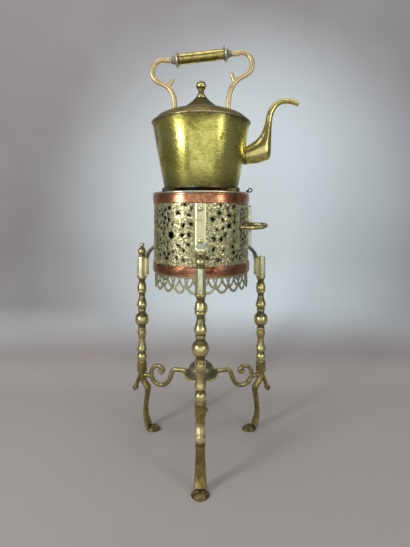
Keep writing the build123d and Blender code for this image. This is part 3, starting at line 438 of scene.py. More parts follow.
def pierced(across: Array, up: Array, metal: Array, closed: bool) -> tuple[Array, list, Array]:
    """Sheet metal cut out of a grid where a field is above 0.

    Marching squares: each cell of the grid keeps the corners that are metal, and the points on
    its edges where the field, taken as a straight line between the two corners, is 0.

    Args:
        across: Place of each column of the grid.
        up: Height of each row.
        metal: The field, one row per column of the grid.
        closed: True where the last column joins the first.

    Returns:
        Place and height of each point, the faces, and the field at each point.
    """
    columns, rows = metal.shape
    pitch = across[1] - across[0]
    spans = columns if closed else columns - 1
    following = (np.arange(columns) + 1) % columns
    u, v = np.meshgrid(across, up, indexing="ij")
    side_points = stacked(u + crossing(metal, metal[following]) * pitch, v)
    climb = crossing(metal[:, :-1], metal[:, 1:]) * (up[1] - up[0])
    rise_points = stacked(u[:, :-1], v[:, :-1] + climb)
    points = np.vstack([
        stacked(u, v).reshape(-1, 2), side_points.reshape(-1, 2), rise_points.reshape(-1, 2)])
    corner = np.arange(columns * rows).reshape(columns, rows)
    side = corner + columns * rows
    rise = np.arange(columns * (rows - 1)).reshape(columns, rows - 1) + 2 * columns * rows
    left, right = np.arange(spans), following[:spans]
    place = {
        "a": corner[left, :-1], "b": corner[right, :-1], "c": corner[right, 1:], "d": corner[left, 1:],
        "ab": side[left, :-1], "bc": rise[right, :], "cd": side[left, 1:], "da": rise[left, :],
    }
    inside = metal > 0.0
    case = inside[left, :-1] * 1 + inside[right, :-1] * 2 + inside[right, 1:] * 4 + inside[left, 1:] * 8
    kept = {
        1: ["a ab da"], 2: ["b bc ab"], 3: ["a b bc da"], 4: ["c cd bc"], 5: ["a ab da", "c cd bc"],
        6: ["b c cd ab"], 7: ["a b c cd da"], 8: ["d da cd"], 9: ["a ab cd d"], 10: ["b bc ab", "d da cd"],
        11: ["a b bc cd d"], 12: ["c d da bc"], 13: ["a ab bc c d"], 14: ["b c d da ab"], 15: ["a b c d"],
    }
    faces: list = []
    for number, polygons in kept.items():
        chosen = case == number
        for polygon in polygons:
            faces += stacked(*(place[key][chosen] for key in polygon.split())).tolist()
    used = np.unique(np.concatenate([np.asarray(face) for face in faces]))
    renumber = np.zeros(len(points), int)
    renumber[used] = np.arange(len(used))
    level = np.concatenate([metal.reshape(-1), np.zeros(len(points) - metal.size)])
    return points[used], [renumber[face].tolist() for face in faces], np.maximum(level[used], 0.0)


def rolled(
    radius: float, across: Array, up: Array, metal: Array, closed: bool,
    sink: float = 0.55, reach: float = 1.1, inset: float = 0.0,
) -> Shape:
    """Pierced sheet rolled round the axis of the stand.

    A place goes to the angle of its length round the drum, and its radius sinks by a part
    that falls off with the exponential of its distance from the nearest hole.

    Args:
        radius: Radius on which lengths round the drum are measured.
        across: Place of each column of the grid.
        up: Height of each row.
        metal: The field that is above 0 where metal stays.
        closed: True for the whole drum.
        sink: How far the edge of a hole sinks.
        reach: Distance over which it comes back.
        inset: How much smaller the whole sheet is than the radius.

    Returns:
        The shape, marked with the distance from the nearest hole.
    """
    flat, faces, away = pierced(across, up, metal, closed)
    angle = flat[:, 0] / radius
    radius = radius - sink * np.exp(-away / reach) - inset
    points = stacked(radius * np.cos(angle), radius * np.sin(angle), flat[:, 1])
    return Shape(points, faces, {"away": np.clip(away / 10.0, 0.0, 1.0)})


class SubAssembly:
    """A sub-assembly: makes its pieces and lets them ride on the moving part that it belongs to."""

    body: ClassVar[Body] = Body.STAND
    pieces: ClassVar[list[str]] = []

    def make(
        self, name: str, shape: Shape, finish: "Finish", node: str, sharp: float = SHARP_EDGE,
    ) -> Thing:
        """Makes one object out of a shape, in place of one solid of the frame.

        Args:
            name: Name of the object.
            shape: Its surface in millimetres.
            finish: Its finish.
            node: The solid that it stands for.
            sharp: Angle in degrees from which an edge is drawn sharp.

        Returns:
            The object.
        """
        mesh = shape.mesh(name)
        for mark, values in shape.marks.items():
            layer = mesh.attributes.new(mark, "FLOAT", "POINT")
            layer.data.foreach_set("value", np.asarray(values, np.float32))
        self.weld(mesh)
        mesh.shade_smooth()
        mesh.set_sharp_from_angle(angle=math.radians(sharp))
        piece = put_in_scene(name, mesh)
        mesh.materials.append(finish.material())
        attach(piece, self.body.value)
        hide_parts(node)
        self.pieces.append(name)
        LOG.info("%s rides on %s: %d faces", name, self.body.value, len(mesh.polygons))
        return piece

    @staticmethod
    def weld(mesh: bpy.types.Mesh) -> None:
        """Merges doubled points, drops empty faces and turns the normals outwards.

        Args:
            mesh: The mesh that is mended.
        """
        work = bmesh.new()
        work.from_mesh(mesh)
        bmesh.ops.remove_doubles(work, verts=work.verts, dist=SAME_PLACE)
        bmesh.ops.dissolve_degenerate(work, edges=work.edges, dist=1e-7)
        bmesh.ops.recalc_face_normals(work, faces=work.faces)
        work.to_mesh(mesh)
        work.free()
        mesh.update()

    @staticmethod
    def thicken(piece: Thing, thickness: float, inside: Optional["Finish"] = None) -> None:
        """Gives a sheet its thickness behind its faces.

        Args:
            piece: The sheet.
            thickness: Its thickness.
            inside: Finish of the new faces, where they have their own.
        """
        wall = piece.modifiers.new("wall", "SOLIDIFY")
        wall.thickness = thickness * MM
        wall.offset = -1.0
        wall.use_even_offset = False
        if inside is not None:
            piece.data.materials.append(inside.material())
            wall.material_offset = 1

    @staticmethod
    def soften(piece: Thing, width: float) -> None:
        """Rounds the sharp edges of a piece.

        Args:
            piece: The piece.
            width: Width of the rounding.
        """
        edge = piece.modifiers.new("edge", "BEVEL")
        edge.width = width * MM
        edge.segments = 2
        edge.limit_method = "ANGLE"
        edge.angle_limit = math.radians(40.0)
        edge.harden_normals = False

    @staticmethod
    def carve(piece: Thing, cutter: Shape) -> None:
        """Cuts a closed shape out of a piece and keeps the result as its mesh.

        Args:
            piece: The piece.
            cutter: The shape that is taken away.
        """
        mesh = cutter.mesh("cutter")
        tool = put_in_scene("cutter", mesh)
        cut = piece.modifiers.new("cut", "BOOLEAN")
        cut.operation = "DIFFERENCE"
        cut.solver = "EXACT"
        cut.object = tool
        bpy.context.view_layer.update()
        result = bpy.data.meshes.new_from_object(piece.evaluated_get(bpy.context.evaluated_depsgraph_get()))
        piece.modifiers.remove(cut)
        old = piece.data
        piece.data = result
        bpy.data.meshes.remove(old)
        bpy.data.objects.remove(tool)
        bpy.data.meshes.remove(mesh)
        result.shade_smooth()
        result.set_sharp_from_angle(angle=math.radians(SHARP_EDGE))

    def keep(self, node: str, finish: "Finish") -> None:
        """Gives a solid of the frame its finish and keeps its shape.

        Args:
            node: Name of the solid.
            finish: Its finish.
        """
        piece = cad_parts[node]
        material = finish.material()
        if piece.material_slots:
            for slot in piece.material_slots:
                slot.material = material
        else:
            piece.data.materials.append(material)
        self.pieces.append(node)
        LOG.info("%s keeps its solid", node)


# ---- shader arithmetic
class Value:
    """A number that changes over a surface. Arithmetic on it adds the nodes that work it out."""

    def __init__(self, bench: "Bench", socket: Socket) -> None:
        """Wraps a socket of a material that is being made."""
        self.bench = bench
        self.socket = socket

    def __add__(self, other: Number) -> "Value":
        """This plus other."""
        return self.bench.math("ADD", self, other)

    __radd__ = __add__

    def __mul__(self, other: Number) -> "Value":
        """This times other."""
        return self.bench.math("MULTIPLY", self, other)

    __rmul__ = __mul__

    def __sub__(self, other: Number) -> "Value":
        """This less other."""
        return self.bench.math("SUBTRACT", self, other)

    def __rsub__(self, other: Number) -> "Value":
        """Other less this."""
        return self.bench.math("SUBTRACT", other, self)

    def __or__(self, other: Number) -> "Value":
        """The larger of this and other."""
        return self.bench.math("MAXIMUM", self, other)

    def eased(self, low: float, high: float) -> "Value":
        """0 below low, 1 above high, and a smooth step between them."""
        return self.bench.value(
            "ShaderNodeMapRange", "Result", {"interpolation_type": "SMOOTHSTEP"},
            {"Value": self, "From Min": low, "From Max": high})


class Bench:
    """Builds the nodes of one material."""

    def __init__(self, name: str) -> None:
        """Makes an empty material.

        Args:
            name: Its name.
        """
        self.material = bpy.data.materials.new(name)
        self.material.use_nodes = True
        self.tree = self.material.node_tree
        self.tree.nodes.clear()
        self.here = self.scaled(self.socket("ShaderNodeTexCoord", "Object", {}, {}), (1.0 / MM,) * 3)

    def node(self, kind: str, settings: Options, inputs: Options) -> bpy.types.Node:
        """Adds one node.

        Args:
            kind: The node's type.
            settings: Attributes that are set first.
            inputs: A value, a Value or a socket for each named or numbered input.

        Returns:
            The node.
        """
        node = self.tree.nodes.new(kind)
        for key, setting in settings.items():
            setattr(node, key, setting)
        for key, given in inputs.items():
            socket = given.socket if isinstance(given, Value) else given
            if isinstance(socket, Socket):
                self.tree.links.new(socket, node.inputs[key])
            else:
                node.inputs[key].default_value = socket
        return node

    def socket(self, kind: str, output: object, settings: Options, inputs: Options) -> Socket:
        """Adds one node and gives back one of its outputs."""
        return self.node(kind, settings, inputs).outputs[output]

    def value(self, kind: str, output: object, settings: Options, inputs: Options) -> Value:
        """Adds one node and gives back one of its outputs as a Value."""
        return Value(self, self.socket(kind, output, settings, inputs))

    def math(self, operation: str, first: Number, second: Number) -> Value:
        """One step of arithmetic."""
        return self.value("ShaderNodeMath", 0, {"operation": operation}, {0: first, 1: second})

    def scaled(self, vector: Socket, factors: Sequence[float]) -> Socket:
        """A vector times a factor along each axis."""
        given = {0: vector, 1: tuple(factors)}
        return self.socket("ShaderNodeVectorMath", 0, {"operation": "MULTIPLY"}, given)

    def tilted(self, degrees: Sequence[float]) -> Socket:
        """The place in millimetres, turned about the three axes."""
        turns = tuple(math.radians(value) for value in degrees)
        return self.socket("ShaderNodeMapping", 0, {}, {"Vector": self.here, "Rotation": turns})

    def noise(
        self, size: Sequence[float], detail: float = 3.0, rough: float = 0.55,
        vector: Optional[Socket] = None, swirl: float = 0.0,
    ) -> Value:
        """Cloudy noise.

        Args:
            size: Size of its lumps in millimetres along each axis.
            detail: How many finer layers it has.
            rough: How strong they are.
            vector: The place, where it isn't the plain one.
            swirl: How far the lumps are bent.

        Returns:
            The noise, from 0 to 1.
        """
        scaled = self.scaled(self.here if vector is None else vector, [1.0 / value for value in size])
        return self.value("ShaderNodeTexNoise", "Fac", {}, {
            "Vector": scaled, "Scale": 1.0, "Detail": detail, "Roughness": rough, "Distortion": swirl})

    def cells(self, size: float) -> Value:
        """Distance to the nearest of scattered points, a size in millimetres apart."""
        given = {"Vector": self.scaled(self.here, (1.0 / size,) * 3), "Scale": 1.0}
        return self.value("ShaderNodeTexVoronoi", "Distance", {"feature": "F1"}, given)

    def mark(self, name: str) -> Value:
        """A number stored on the surface, or 0 where the piece has none."""
        return self.value("ShaderNodeAttribute", "Fac", {"attribute_name": name}, {})

    def height(self) -> Value:
        """The height above the floor in millimetres."""
        return self.value("ShaderNodeSeparateXYZ", "Z", {}, {0: self.here})

    def blend(self, share: Number, first: object, second: object) -> Socket:
        """A colour that goes from the first to the second as share goes from 0 to 1."""
        first, second = ((*given, 1.0) if isinstance(given, tuple) else given for given in (first, second))
        return self.socket(
            "ShaderNodeMix", 2, {"data_type": "RGBA", "clamp_factor": True}, {0: share, 6: first, 7: second})

    def bump(self, height: Value, depth: float) -> Socket:
        """A normal from a height, with the depth in millimetres of a height of 1."""
        return self.socket(
            "ShaderNodeBump", "Normal", {}, {"Height": height, "Strength": 1.0, "Distance": depth * MM})

    def distance(self, centre: Sequence[float]) -> Value:
        """The distance in millimetres from a point."""
        return self.value(
            "ShaderNodeVectorMath", "Value", {"operation": "DISTANCE"}, {0: self.here, 1: tuple(centre)})

    def principled(self, inputs: Options) -> Socket:
        """A principled shader with the given inputs."""
        return self.socket("ShaderNodeBsdfPrincipled", "BSDF", {}, inputs)

    def surface(self, shader: Socket) -> bpy.types.Material:
        """Ends the material with its shader."""
        self.node("ShaderNodeOutputMaterial", {}, {"Surface": shader})
        return self.material


# ---- finishes
class Grain(Enum):
    """The way that the fine polishing lines of a metal run, as the size of a streak in millimetres."""

    ROUND = (60.0, 60.0, 0.9)
    UPRIGHT = (1.1, 1.1, 70.0)
    LOOSE = (7.0, 7.0, 2.2)


@dataclass(frozen=True)
class Finish:
    """A way of painting a surface, with the slot of the record that it belongs to."""

    name: str
    slot: str

    def paint(self, bench: "Bench") -> Socket:
        """Adds the nodes of the finish and gives back its shader."""
        raise NotImplementedError

    def material(self) -> bpy.types.Material:
        """The material, made once and shared by every piece with this finish.

        Returns:
            The material.
        """
        title = f"finish_{self.name}"
        made = bpy.data.materials.get(title)
        if made is not None:
            return made
        bench = Bench(title)
        return bench.surface(self.paint(bench))


@dataclass(frozen=True)
class AgedMetal(Finish):
    """An aged metal: bright tone, tarnish, dirt and painted shade in hollows, verdigris, painted highlights.
    """

    bright: Triple
    tarnish: Triple
    dirt_and_shade: Triple
    tarnished: float = 0.5
    dirt_and_shade_share: float = 0.8
    verdigris: float = 0.0
    gloss: float = 0.26
    dull: float = 0.44
    lump: float = 14.0
    grain: Grain = Grain.LOOSE
    scratches: float = 0.5
    pits: float = 0.2
    relief: float = 0.05
    low_dark: Optional[Pair] = None
    high_dark: Optional[Pair] = None
    green: Triple = (0.36, 0.47, 0.38)

    def scores(self, bench: Bench) -> Value:
        """Long thin scratches in two slanting directions.

        Args:
            bench: Where the nodes are made.

        Returns:
            1 in a scratch and 0 beside it.
        """
        first = bench.noise((26, 26, 0.7), 1, 0.5, bench.tilted((38, 24, 10)))
        second = bench.noise((34, 34, 0.9), 1, 0.5, bench.tilted((-33, -28, 60)))
        return first.eased(0.64, 0.7) | second.eased(0.66, 0.71)

    def fades(self, bench: Bench, clouds: Value, streaks: Value) -> list[Value]:
        """Darkening below one height and above another, with an uneven edge; the upper one is a painted dark
        reflection.

        Args:
            bench: Where the nodes are made.
            clouds: Noise that makes the edge uneven.
            streaks: Noise that makes the tarnish streaky.

        Returns:
            One share for each of the two.
        """
        height = bench.height() + (clouds - 0.5) * 24.0
        made = []
        if self.low_dark is not None:
            made.append((1.0 - height.eased(*self.low_dark)) * (0.45 + 0.75 * streaks))
        if self.high_dark is not None:
            # Painted reflection: a dark band standing in for what the wall reflects just under the shoulder.
            made.append(height.eased(*self.high_dark) * (0.55 + 0.75 * streaks))
        return made

    def paint(self, bench: Bench) -> Socket:
        """Adds the nodes: cloudy tarnish, dirt and painted shade in hollows, painted highlights, verdigris,
        scratches and pits.

        Args:
            bench: Where the nodes are made.

        Returns:
            The shader.
        """
        clouds = bench.noise((self.lump,) * 3, 4, 0.6, swirl=0.6)
        spots = bench.noise((self.lump / 6,) * 3, 3, 0.6)
        streaks = bench.noise(self.grain.value, detail=2, rough=0.7)
        scores = self.scores(bench)
        hollow = bench.mark("hollow")
        level = 0.24 * self.tarnished
        tarnish = clouds * 0.62 + spots * 0.22 + streaks * 0.3 - scores * (0.3 * self.scratches)
        tarnish = tarnish.eased(0.62 - level, 0.86 - level)
        # Darkening in hollows and marked bands: part dirt, part painted shade.
        dirt_and_shade = (hollow * (0.75 + 0.5 * spots)).eased(0.18, 0.95)
        dirt_and_shade = dirt_and_shade | ((clouds + spots * 0.5).eased(0.86, 1.02) * 0.7)
        for fade in self.fades(bench, clouds, streaks):
            dirt_and_shade = dirt_and_shade | fade
        # This mark paints highlights: a pale colour, with the darkening lifted, where it is set.
        worn = bench.mark("worn")
        dirt_and_shade = dirt_and_shade * self.dirt_and_shade_share * (1.0 - worn)
        crust = (bench.mark("verdigris") * (0.1 + spots * 1.6)).eased(0.44, 0.72)
        if self.verdigris > 0.0:
            crust = crust | ((hollow * 0.3 + spots * 0.7 + clouds * 0.45).eased(0.8, 0.92) * self.verdigris)
        colour = bench.blend(tarnish, self.bright, self.tarnish)
        colour = bench.blend(worn, colour, (0.88, 0.78, 0.5))
        colour = bench.blend(dirt_and_shade, colour, self.dirt_and_shade)
        colour = bench.blend(crust, colour, self.green)
        rough = self.gloss + tarnish * (0.7 * (self.dull - self.gloss)) + streaks * 0.1
        rough = rough + dirt_and_shade * 0.22 + crust * 0.35 + scores * (0.1 * self.scratches)
        pits = bench.cells(5.5).eased(0.05, 0.22)
        height = streaks * 0.35 + spots * 0.45 - scores * (0.8 * self.scratches) + pits * (self.pits * 1.6)
        height = height + crust * (1.5 + spots)
        return bench.principled({
            "Base Color": colour, "Metallic": 1.0 - crust * 0.9 - dirt_and_shade * 0.15, "Roughness": rough,
            "Normal": bench.bump(height, self.relief),
        })


@dataclass(frozen=True)
class ChasedSheet(AgedMetal):
    """Sheet with lines chased round its pierced holes and leaf veins between them."""

    line_from_edge: float = 1.5
    vein_size: float = 5.5

    def paint(self, bench: Bench) -> Socket:
        """Adds the nodes: the distance from a hole draws the chased line, darkened by dirt and painted shade.

        Args:
            bench: Where the nodes are made.

        Returns:
            The shader.
        """
        clouds = bench.noise((self.lump,) * 3, 4, 0.6, swirl=0.6)
        spots = bench.noise((self.lump / 5,) * 3, 3, 0.6)
        away = bench.mark("away") * 10.0
        offset = away - self.line_from_edge
        groove = 1.0 - (offset * offset).eased(0.02, 0.28)
        leaf = bench.noise((self.vein_size,) * 3, 1, 0.4, swirl=2.4)
        vein = 1.0 - ((leaf - 0.5) * (leaf - 0.5)).eased(0.0008, 0.0075)
        hatch = bench.noise((1.3, 1.3, 5), 1, 0.5, bench.tilted((24, -31, 0))).eased(0.54, 0.62)
        lines = groove | (vein * 0.75) | (hatch * leaf.eased(0.5, 0.64) * 0.6)
        level = 0.24 * self.tarnished
        tarnish = (clouds * 0.6 + spots * 0.4).eased(0.6 - level, 0.8 - level)
        edge = 1.0 - away.eased(0.1, 0.7)
        # Darker chased lines, veins and hole margins: part dirt, part painted shade.
        dirt_and_shade = ((lines * (0.6 + 0.7 * spots)) | (edge * 0.6)) * self.dirt_and_shade_share
        crust = (spots * 0.75 + clouds * 0.45 + lines * 0.1).eased(0.7, 0.86) * self.verdigris
        crust = crust | (bench.mark("verdigris") * (0.1 + spots * 1.6)).eased(0.44, 0.72)
        colour = bench.blend(tarnish, self.bright, self.tarnish)
        colour = bench.blend(dirt_and_shade, colour, self.dirt_and_shade)
        colour = bench.blend(crust, colour, self.green)
        rough = self.gloss + tarnish * (self.dull - self.gloss) + dirt_and_shade * 0.25 + crust * 0.3
        height = spots * 0.5 - lines * 2.2 + crust * 0.6 + leaf * 1.6
        return bench.principled({
            "Base Color": colour, "Metallic": 1.0 - crust * 0.85, "Roughness": rough,
            "Normal": bench.bump(height, self.relief),
        })


@dataclass(frozen=True)
class CharredWick(Finish):
    """Twisted cotton, charred at its top."""

    char_from: float = 396.0
    char_to: float = 402.0

    def paint(self, bench: Bench) -> Socket:
        """Adds the nodes: slanting strands, and soot that thickens with height.

        Args:
            bench: Where the nodes are made.

        Returns:
            The shader.
        """
        strands = bench.noise((0.9, 0.9, 5), 2, 0.6, bench.tilted((20, 30, 0)))
        char = (bench.height() + strands * 5.0).eased(self.char_from, self.char_to)
        colour = bench.blend(strands, (0.62, 0.56, 0.42), (0.84, 0.8, 0.68))
        colour = bench.blend(char, colour, (0.03, 0.027, 0.024))
        return bench.principled({
            "Base Color": colour, "Roughness": 0.85 + strands * 0.1, "Normal": bench.bump(strands, 0.3)})


@dataclass(frozen=True)
class PaperBackdrop(Finish):
    """A paper sweep: a warm grey floor, a bend with painted shade, and a cool grey wall whose painted pool of
    light darkens outwards.

    Only its front is paper. Its back is clear, so that the stand can be looked at from behind.
    """

    floor: Triple = (0.475, 0.435, 0.415)
    bend: Triple = (0.375, 0.335, 0.33)
    wall: Triple = (0.79, 0.88, 0.92)
    edge: Triple = (0.31, 0.29, 0.295)
    glow_centre: Triple = (170.0, 490.0, 430.0)
    glow_inner: float = 210.0
    glow_outer: float = 800.0

    def paint(self, bench: Bench) -> Socket:
        """Adds the nodes: the height picks floor, bend or wall, and a painted pool of light fades away from a
        centre.

        Args:
            bench: Where the nodes are made.

        Returns:
            The shader.
        """
        grain = bench.noise((3.0,) * 3, 3, 0.6)
        clouds = bench.noise((300.0,) * 3, 2, 0.5)
        height = bench.height() + (clouds - 0.5) * 40.0
        wall_share = height.eased(35, 165)
        # Painted shade: the bend is darker than the floor.
        colour = bench.blend(height.eased(9, 48), self.floor, self.bend)
        colour = bench.blend(wall_share, colour, self.wall)
        # Painted pool of light: the wall darkens away from the glow centre.
        away = bench.distance(self.glow_centre).eased(self.glow_inner, self.glow_outer)
        colour = bench.blend(away * wall_share * (0.85 + 0.3 * clouds), colour, self.edge)
        specks = 1.0 - bench.cells(95).eased(0.012, 0.02)
        colour = bench.blend(specks * 0.6, colour, (0.1, 0.085, 0.08))
        paper = bench.principled({
            "Base Color": colour, "Roughness": 0.86 + grain * 0.1, "Normal": bench.bump(grain, 0.05)})
        back = bench.socket("ShaderNodeNewGeometry", "Backfacing", {}, {})
        clear = bench.socket("ShaderNodeBsdfTransparent", 0, {}, {})
        return bench.socket("ShaderNodeMixShader", 0, {}, {0: back, 1: paper, 2: clear})


@dataclass(frozen=True)
class Finishes:
    """Every finish of the kettle and its stand."""

    # high_dark paints a dark reflection into the wall under the shoulder; low_dark makes it darker towards
    # the bottom.
    kettle: Finish = AgedMetal(
         "kettle", "kettle_brass", (0.78, 0.72, 0.21), (0.4, 0.35, 0.065), (0.055, 0.045, 0.01),
        tarnished=0.6, dirt_and_shade_share=0.85, gloss=0.14, dull=0.28, lump=40.0, scratches=0.9, pits=0.1,
        relief=0.03, low_dark=(502.0, 540.0), high_dark=(610.0, 631.0))
    # Painted shade: a darker copy of the kettle's brass for the pan, which sits in shadow under the kettle.
    pan: Finish = AgedMetal(
         "pan", "kettle_brass", (0.24, 0.2, 0.08), (0.11, 0.085, 0.03), (0.03, 0.024, 0.012),
        tarnished=0.8, dirt_and_shade_share=0.9, gloss=0.34, dull=0.55, lump=18.0)
    seam: Finish = AgedMetal(
         "seam", "kettle_brass", (0.46, 0.41, 0.25), (0.19, 0.15, 0.065), (0.04, 0.03, 0.014), dirt_and_shade_share=0.9,
        lump=9.0, relief=0.04)
    shoulder: Finish = AgedMetal(
         "shoulder", "kettle_brass", (0.38, 0.3, 0.09), (0.17, 0.12, 0.036), (0.045, 0.032, 0.013),
        tarnished=0.9, dirt_and_shade_share=0.9, gloss=0.24, dull=0.42, lump=26.0, scratches=0.4, relief=0.03)
    spout: Finish = AgedMetal(
         "spout", "kettle_brass", (0.76, 0.66, 0.24), (0.42, 0.32, 0.09), (0.055, 0.042, 0.014),
        tarnished=0.6, dirt_and_shade_share=0.9, gloss=0.17, dull=0.36, lump=26.0, relief=0.03)
    knob: Finish = AgedMetal(
         "knob", "kettle_brass", (0.84, 0.72, 0.31), (0.55, 0.43, 0.15), (0.06, 0.042, 0.014),
        tarnished=0.4, gloss=0.16, dull=0.32, grain=Grain.ROUND, relief=0.02)
    scroll: Finish = AgedMetal(
         "scroll", "pale_brass", (0.78, 0.63, 0.34), (0.56, 0.41, 0.18), (0.14, 0.1, 0.04),
        tarnished=0.45, dirt_and_shade_share=0.7, gloss=0.38, dull=0.54, lump=15.0, scratches=0.3, pits=0.5,
        relief=0.05)
    grip: Finish = AgedMetal(
         "grip", "pale_brass", (0.7, 0.6, 0.2), (0.34, 0.26, 0.07), (0.05, 0.037, 0.012), tarnished=0.65,
        dirt_and_shade_share=0.95, gloss=0.16, dull=0.34, relief=0.035)
    ferrule: Finish = AgedMetal(
         "ferrule", "white_metal", (0.66, 0.63, 0.5), (0.42, 0.39, 0.27), (0.07, 0.055, 0.035),
        dirt_and_shade_share=0.6, verdigris=0.35, gloss=0.34, dull=0.55, lump=9.0, pits=0.6, relief=0.06)
    gallery: Finish = ChasedSheet(
         "gallery", "gallery_brass", (0.95, 0.92, 0.52), (0.5, 0.48, 0.18), (0.018, 0.017, 0.008),
        tarnished=0.4, dirt_and_shade_share=1.0, verdigris=0.25, lump=24.0, relief=0.5, green=(0.38, 0.46, 0.36),
        vein_size=7.0)
    skirt: Finish = ChasedSheet(
         "skirt", "gallery_brass", (0.88, 0.86, 0.5), (0.52, 0.5, 0.22), (0.04, 0.038, 0.018),
        tarnished=0.4, dirt_and_shade_share=0.75, verdigris=0.2, lump=20.0, relief=0.14, green=(0.38, 0.46, 0.36),
        line_from_edge=1.0, vein_size=7.0)
    rim: Finish = AgedMetal(
         "rim", "gallery_brass", (0.84, 0.78, 0.52), (0.52, 0.46, 0.25), (0.1, 0.085, 0.04),
        tarnished=0.45, dirt_and_shade_share=0.7, verdigris=0.2, gloss=0.24, dull=0.42, lump=18.0, grain=Grain.ROUND,
        relief=0.03)
    strip: Finish = AgedMetal(
         "strip", "gallery_brass", (0.82, 0.81, 0.6), (0.56, 0.55, 0.36), (0.07, 0.06, 0.028),
        tarnished=0.4, dirt_and_shade_share=0.7, verdigris=0.3, grain=Grain.UPRIGHT, relief=0.04)
    soot: Finish = AgedMetal(
         "soot", "gallery_brass", (0.075, 0.065, 0.04), (0.035, 0.03, 0.02), (0.012, 0.01, 0.008),
        tarnished=0.8, gloss=0.5, dull=0.7, lump=20.0)
    # Painted shade: the shelf's brass made darker for the rests, which stand in shadow under the kettle; they
    # also carry heavy verdigris.
    rests: Finish = AgedMetal(
         "rests", "gallery_brass", (0.3, 0.27, 0.15), (0.14, 0.12, 0.06), (0.03, 0.026, 0.014),
        tarnished=0.8, dirt_and_shade_share=0.9, verdigris=0.9, gloss=0.36, dull=0.58, lump=12.0, relief=0.06,
        green=(0.46, 0.58, 0.5))
    shelf: Finish = AgedMetal(
         "shelf", "gallery_brass", (0.6, 0.55, 0.32), (0.3, 0.26, 0.12), (0.05, 0.045, 0.022),
        tarnished=0.8, verdigris=0.45, gloss=0.34, dull=0.56)
    strap: Finish = AgedMetal(
         "strap", "leg_brass", (0.78, 0.76, 0.46), (0.5, 0.48, 0.23), (0.07, 0.065, 0.03), tarnished=0.45,
        dirt_and_shade_share=0.85, verdigris=0.12, lump=16.0, grain=Grain.UPRIGHT, relief=0.04)
    copper: Finish = AgedMetal(
         "copper", "copper", (0.66, 0.31, 0.17), (0.27, 0.1, 0.042), (0.04, 0.013, 0.006), tarnished=0.65,
        dirt_and_shade_share=0.9, gloss=0.15, dull=0.3, lump=26.0, relief=0.035, green=(0.33, 0.42, 0.36))
    leg: Finish = AgedMetal(
         "leg", "leg_brass", (0.76, 0.69, 0.33), (0.46, 0.39, 0.14), (0.06, 0.046, 0.016), gloss=0.2,
        dull=0.38, lump=16.0, grain=Grain.ROUND, scratches=0.3, relief=0.025)
    post: Finish = AgedMetal(
         "post", "leg_brass", (0.86, 0.86, 0.56), (0.58, 0.57, 0.32), (0.08, 0.07, 0.035), verdigris=0.15,
        dull=0.46, lump=15.0, grain=Grain.UPRIGHT, relief=0.04)
    foot: Finish = AgedMetal(
         "foot", "dark_brass", (0.44, 0.36, 0.14), (0.21, 0.16, 0.055), (0.035, 0.026, 0.01),
        tarnished=0.75, dirt_and_shade_share=0.95, verdigris=0.06, gloss=0.3, dull=0.5, lump=13.0, grain=Grain.UPRIGHT,
        pits=0.7, relief=0.08)
    arm: Finish = AgedMetal(
         "arm", "dark_brass", (0.5, 0.45, 0.21), (0.24, 0.21, 0.09), (0.04, 0.035, 0.016), tarnished=0.65,
        dirt_and_shade_share=0.95, verdigris=0.15, gloss=0.28, dull=0.48, lump=11.0, pits=0.4, relief=0.06,
        green=(0.3, 0.38, 0.31))
    boss: Finish = AgedMetal(
         "boss", "dark_brass", (0.84, 0.78, 0.44), (0.5, 0.45, 0.22), (0.05, 0.042, 0.02), tarnished=0.6,
        dirt_and_shade_share=0.85, verdigris=0.12, gloss=0.24, dull=0.42, pits=0.4, green=(0.3, 0.38, 0.31))
    lid: Finish = AgedMetal(
         "lid", "kettle_brass", (0.54, 0.46, 0.17), (0.27, 0.21, 0.07), (0.04, 0.03, 0.012),
        tarnished=0.8, lump=18.0, scratches=0.5, relief=0.035)
    iron: Finish = AgedMetal(
         "iron", "iron", (0.2, 0.17, 0.13), (0.11, 0.085, 0.06), (0.03, 0.026, 0.022), tarnished=0.7,
        verdigris=0.3, gloss=0.42, dull=0.62, lump=8.0, pits=0.8, relief=0.06)
    wick: Finish = CharredWick("wick", "cotton")


FINISHES = Finishes()


# ---- the pierced drum
LEG_AZIMUTHS = {"front": -90.0, "right": 18.0, "back": 90.0, "left": 162.0}


@dataclass(frozen=True)
class Leaf:
    """One pierced leaf: where it lies on the rolled-out sheet, its lean, and half its length and width."""

    across: float
    up: float
    lean: float
    half_length: float
    half_width: float

    def distance(self, across: Array, up: Array, around: float) -> Array:
        """How far each place lies outside the leaf, below 0 inside it.

        The leaf is what two equal circles share: the distance is the longer of the two distances
        from their centres, less their radius.

        Args:
            across: Place round the drum.
            up: Height.
            around: Length once round the drum, after which the pattern starts again.

        Returns:
            The distance at each place.
        """
        x = (across - self.across + around / 2) % around - around / 2
        z = up - self.up
        turn = math.radians(self.lean)
        along = x * math.cos(turn) + z * math.sin(turn)
        beside = np.abs(z * math.cos(turn) - x * math.sin(turn))
        reach = (self.half_length ** 2 + self.half_width ** 2) / (2 * self.half_width)
        return np.hypot(along, beside + reach - self.half_width) - reach


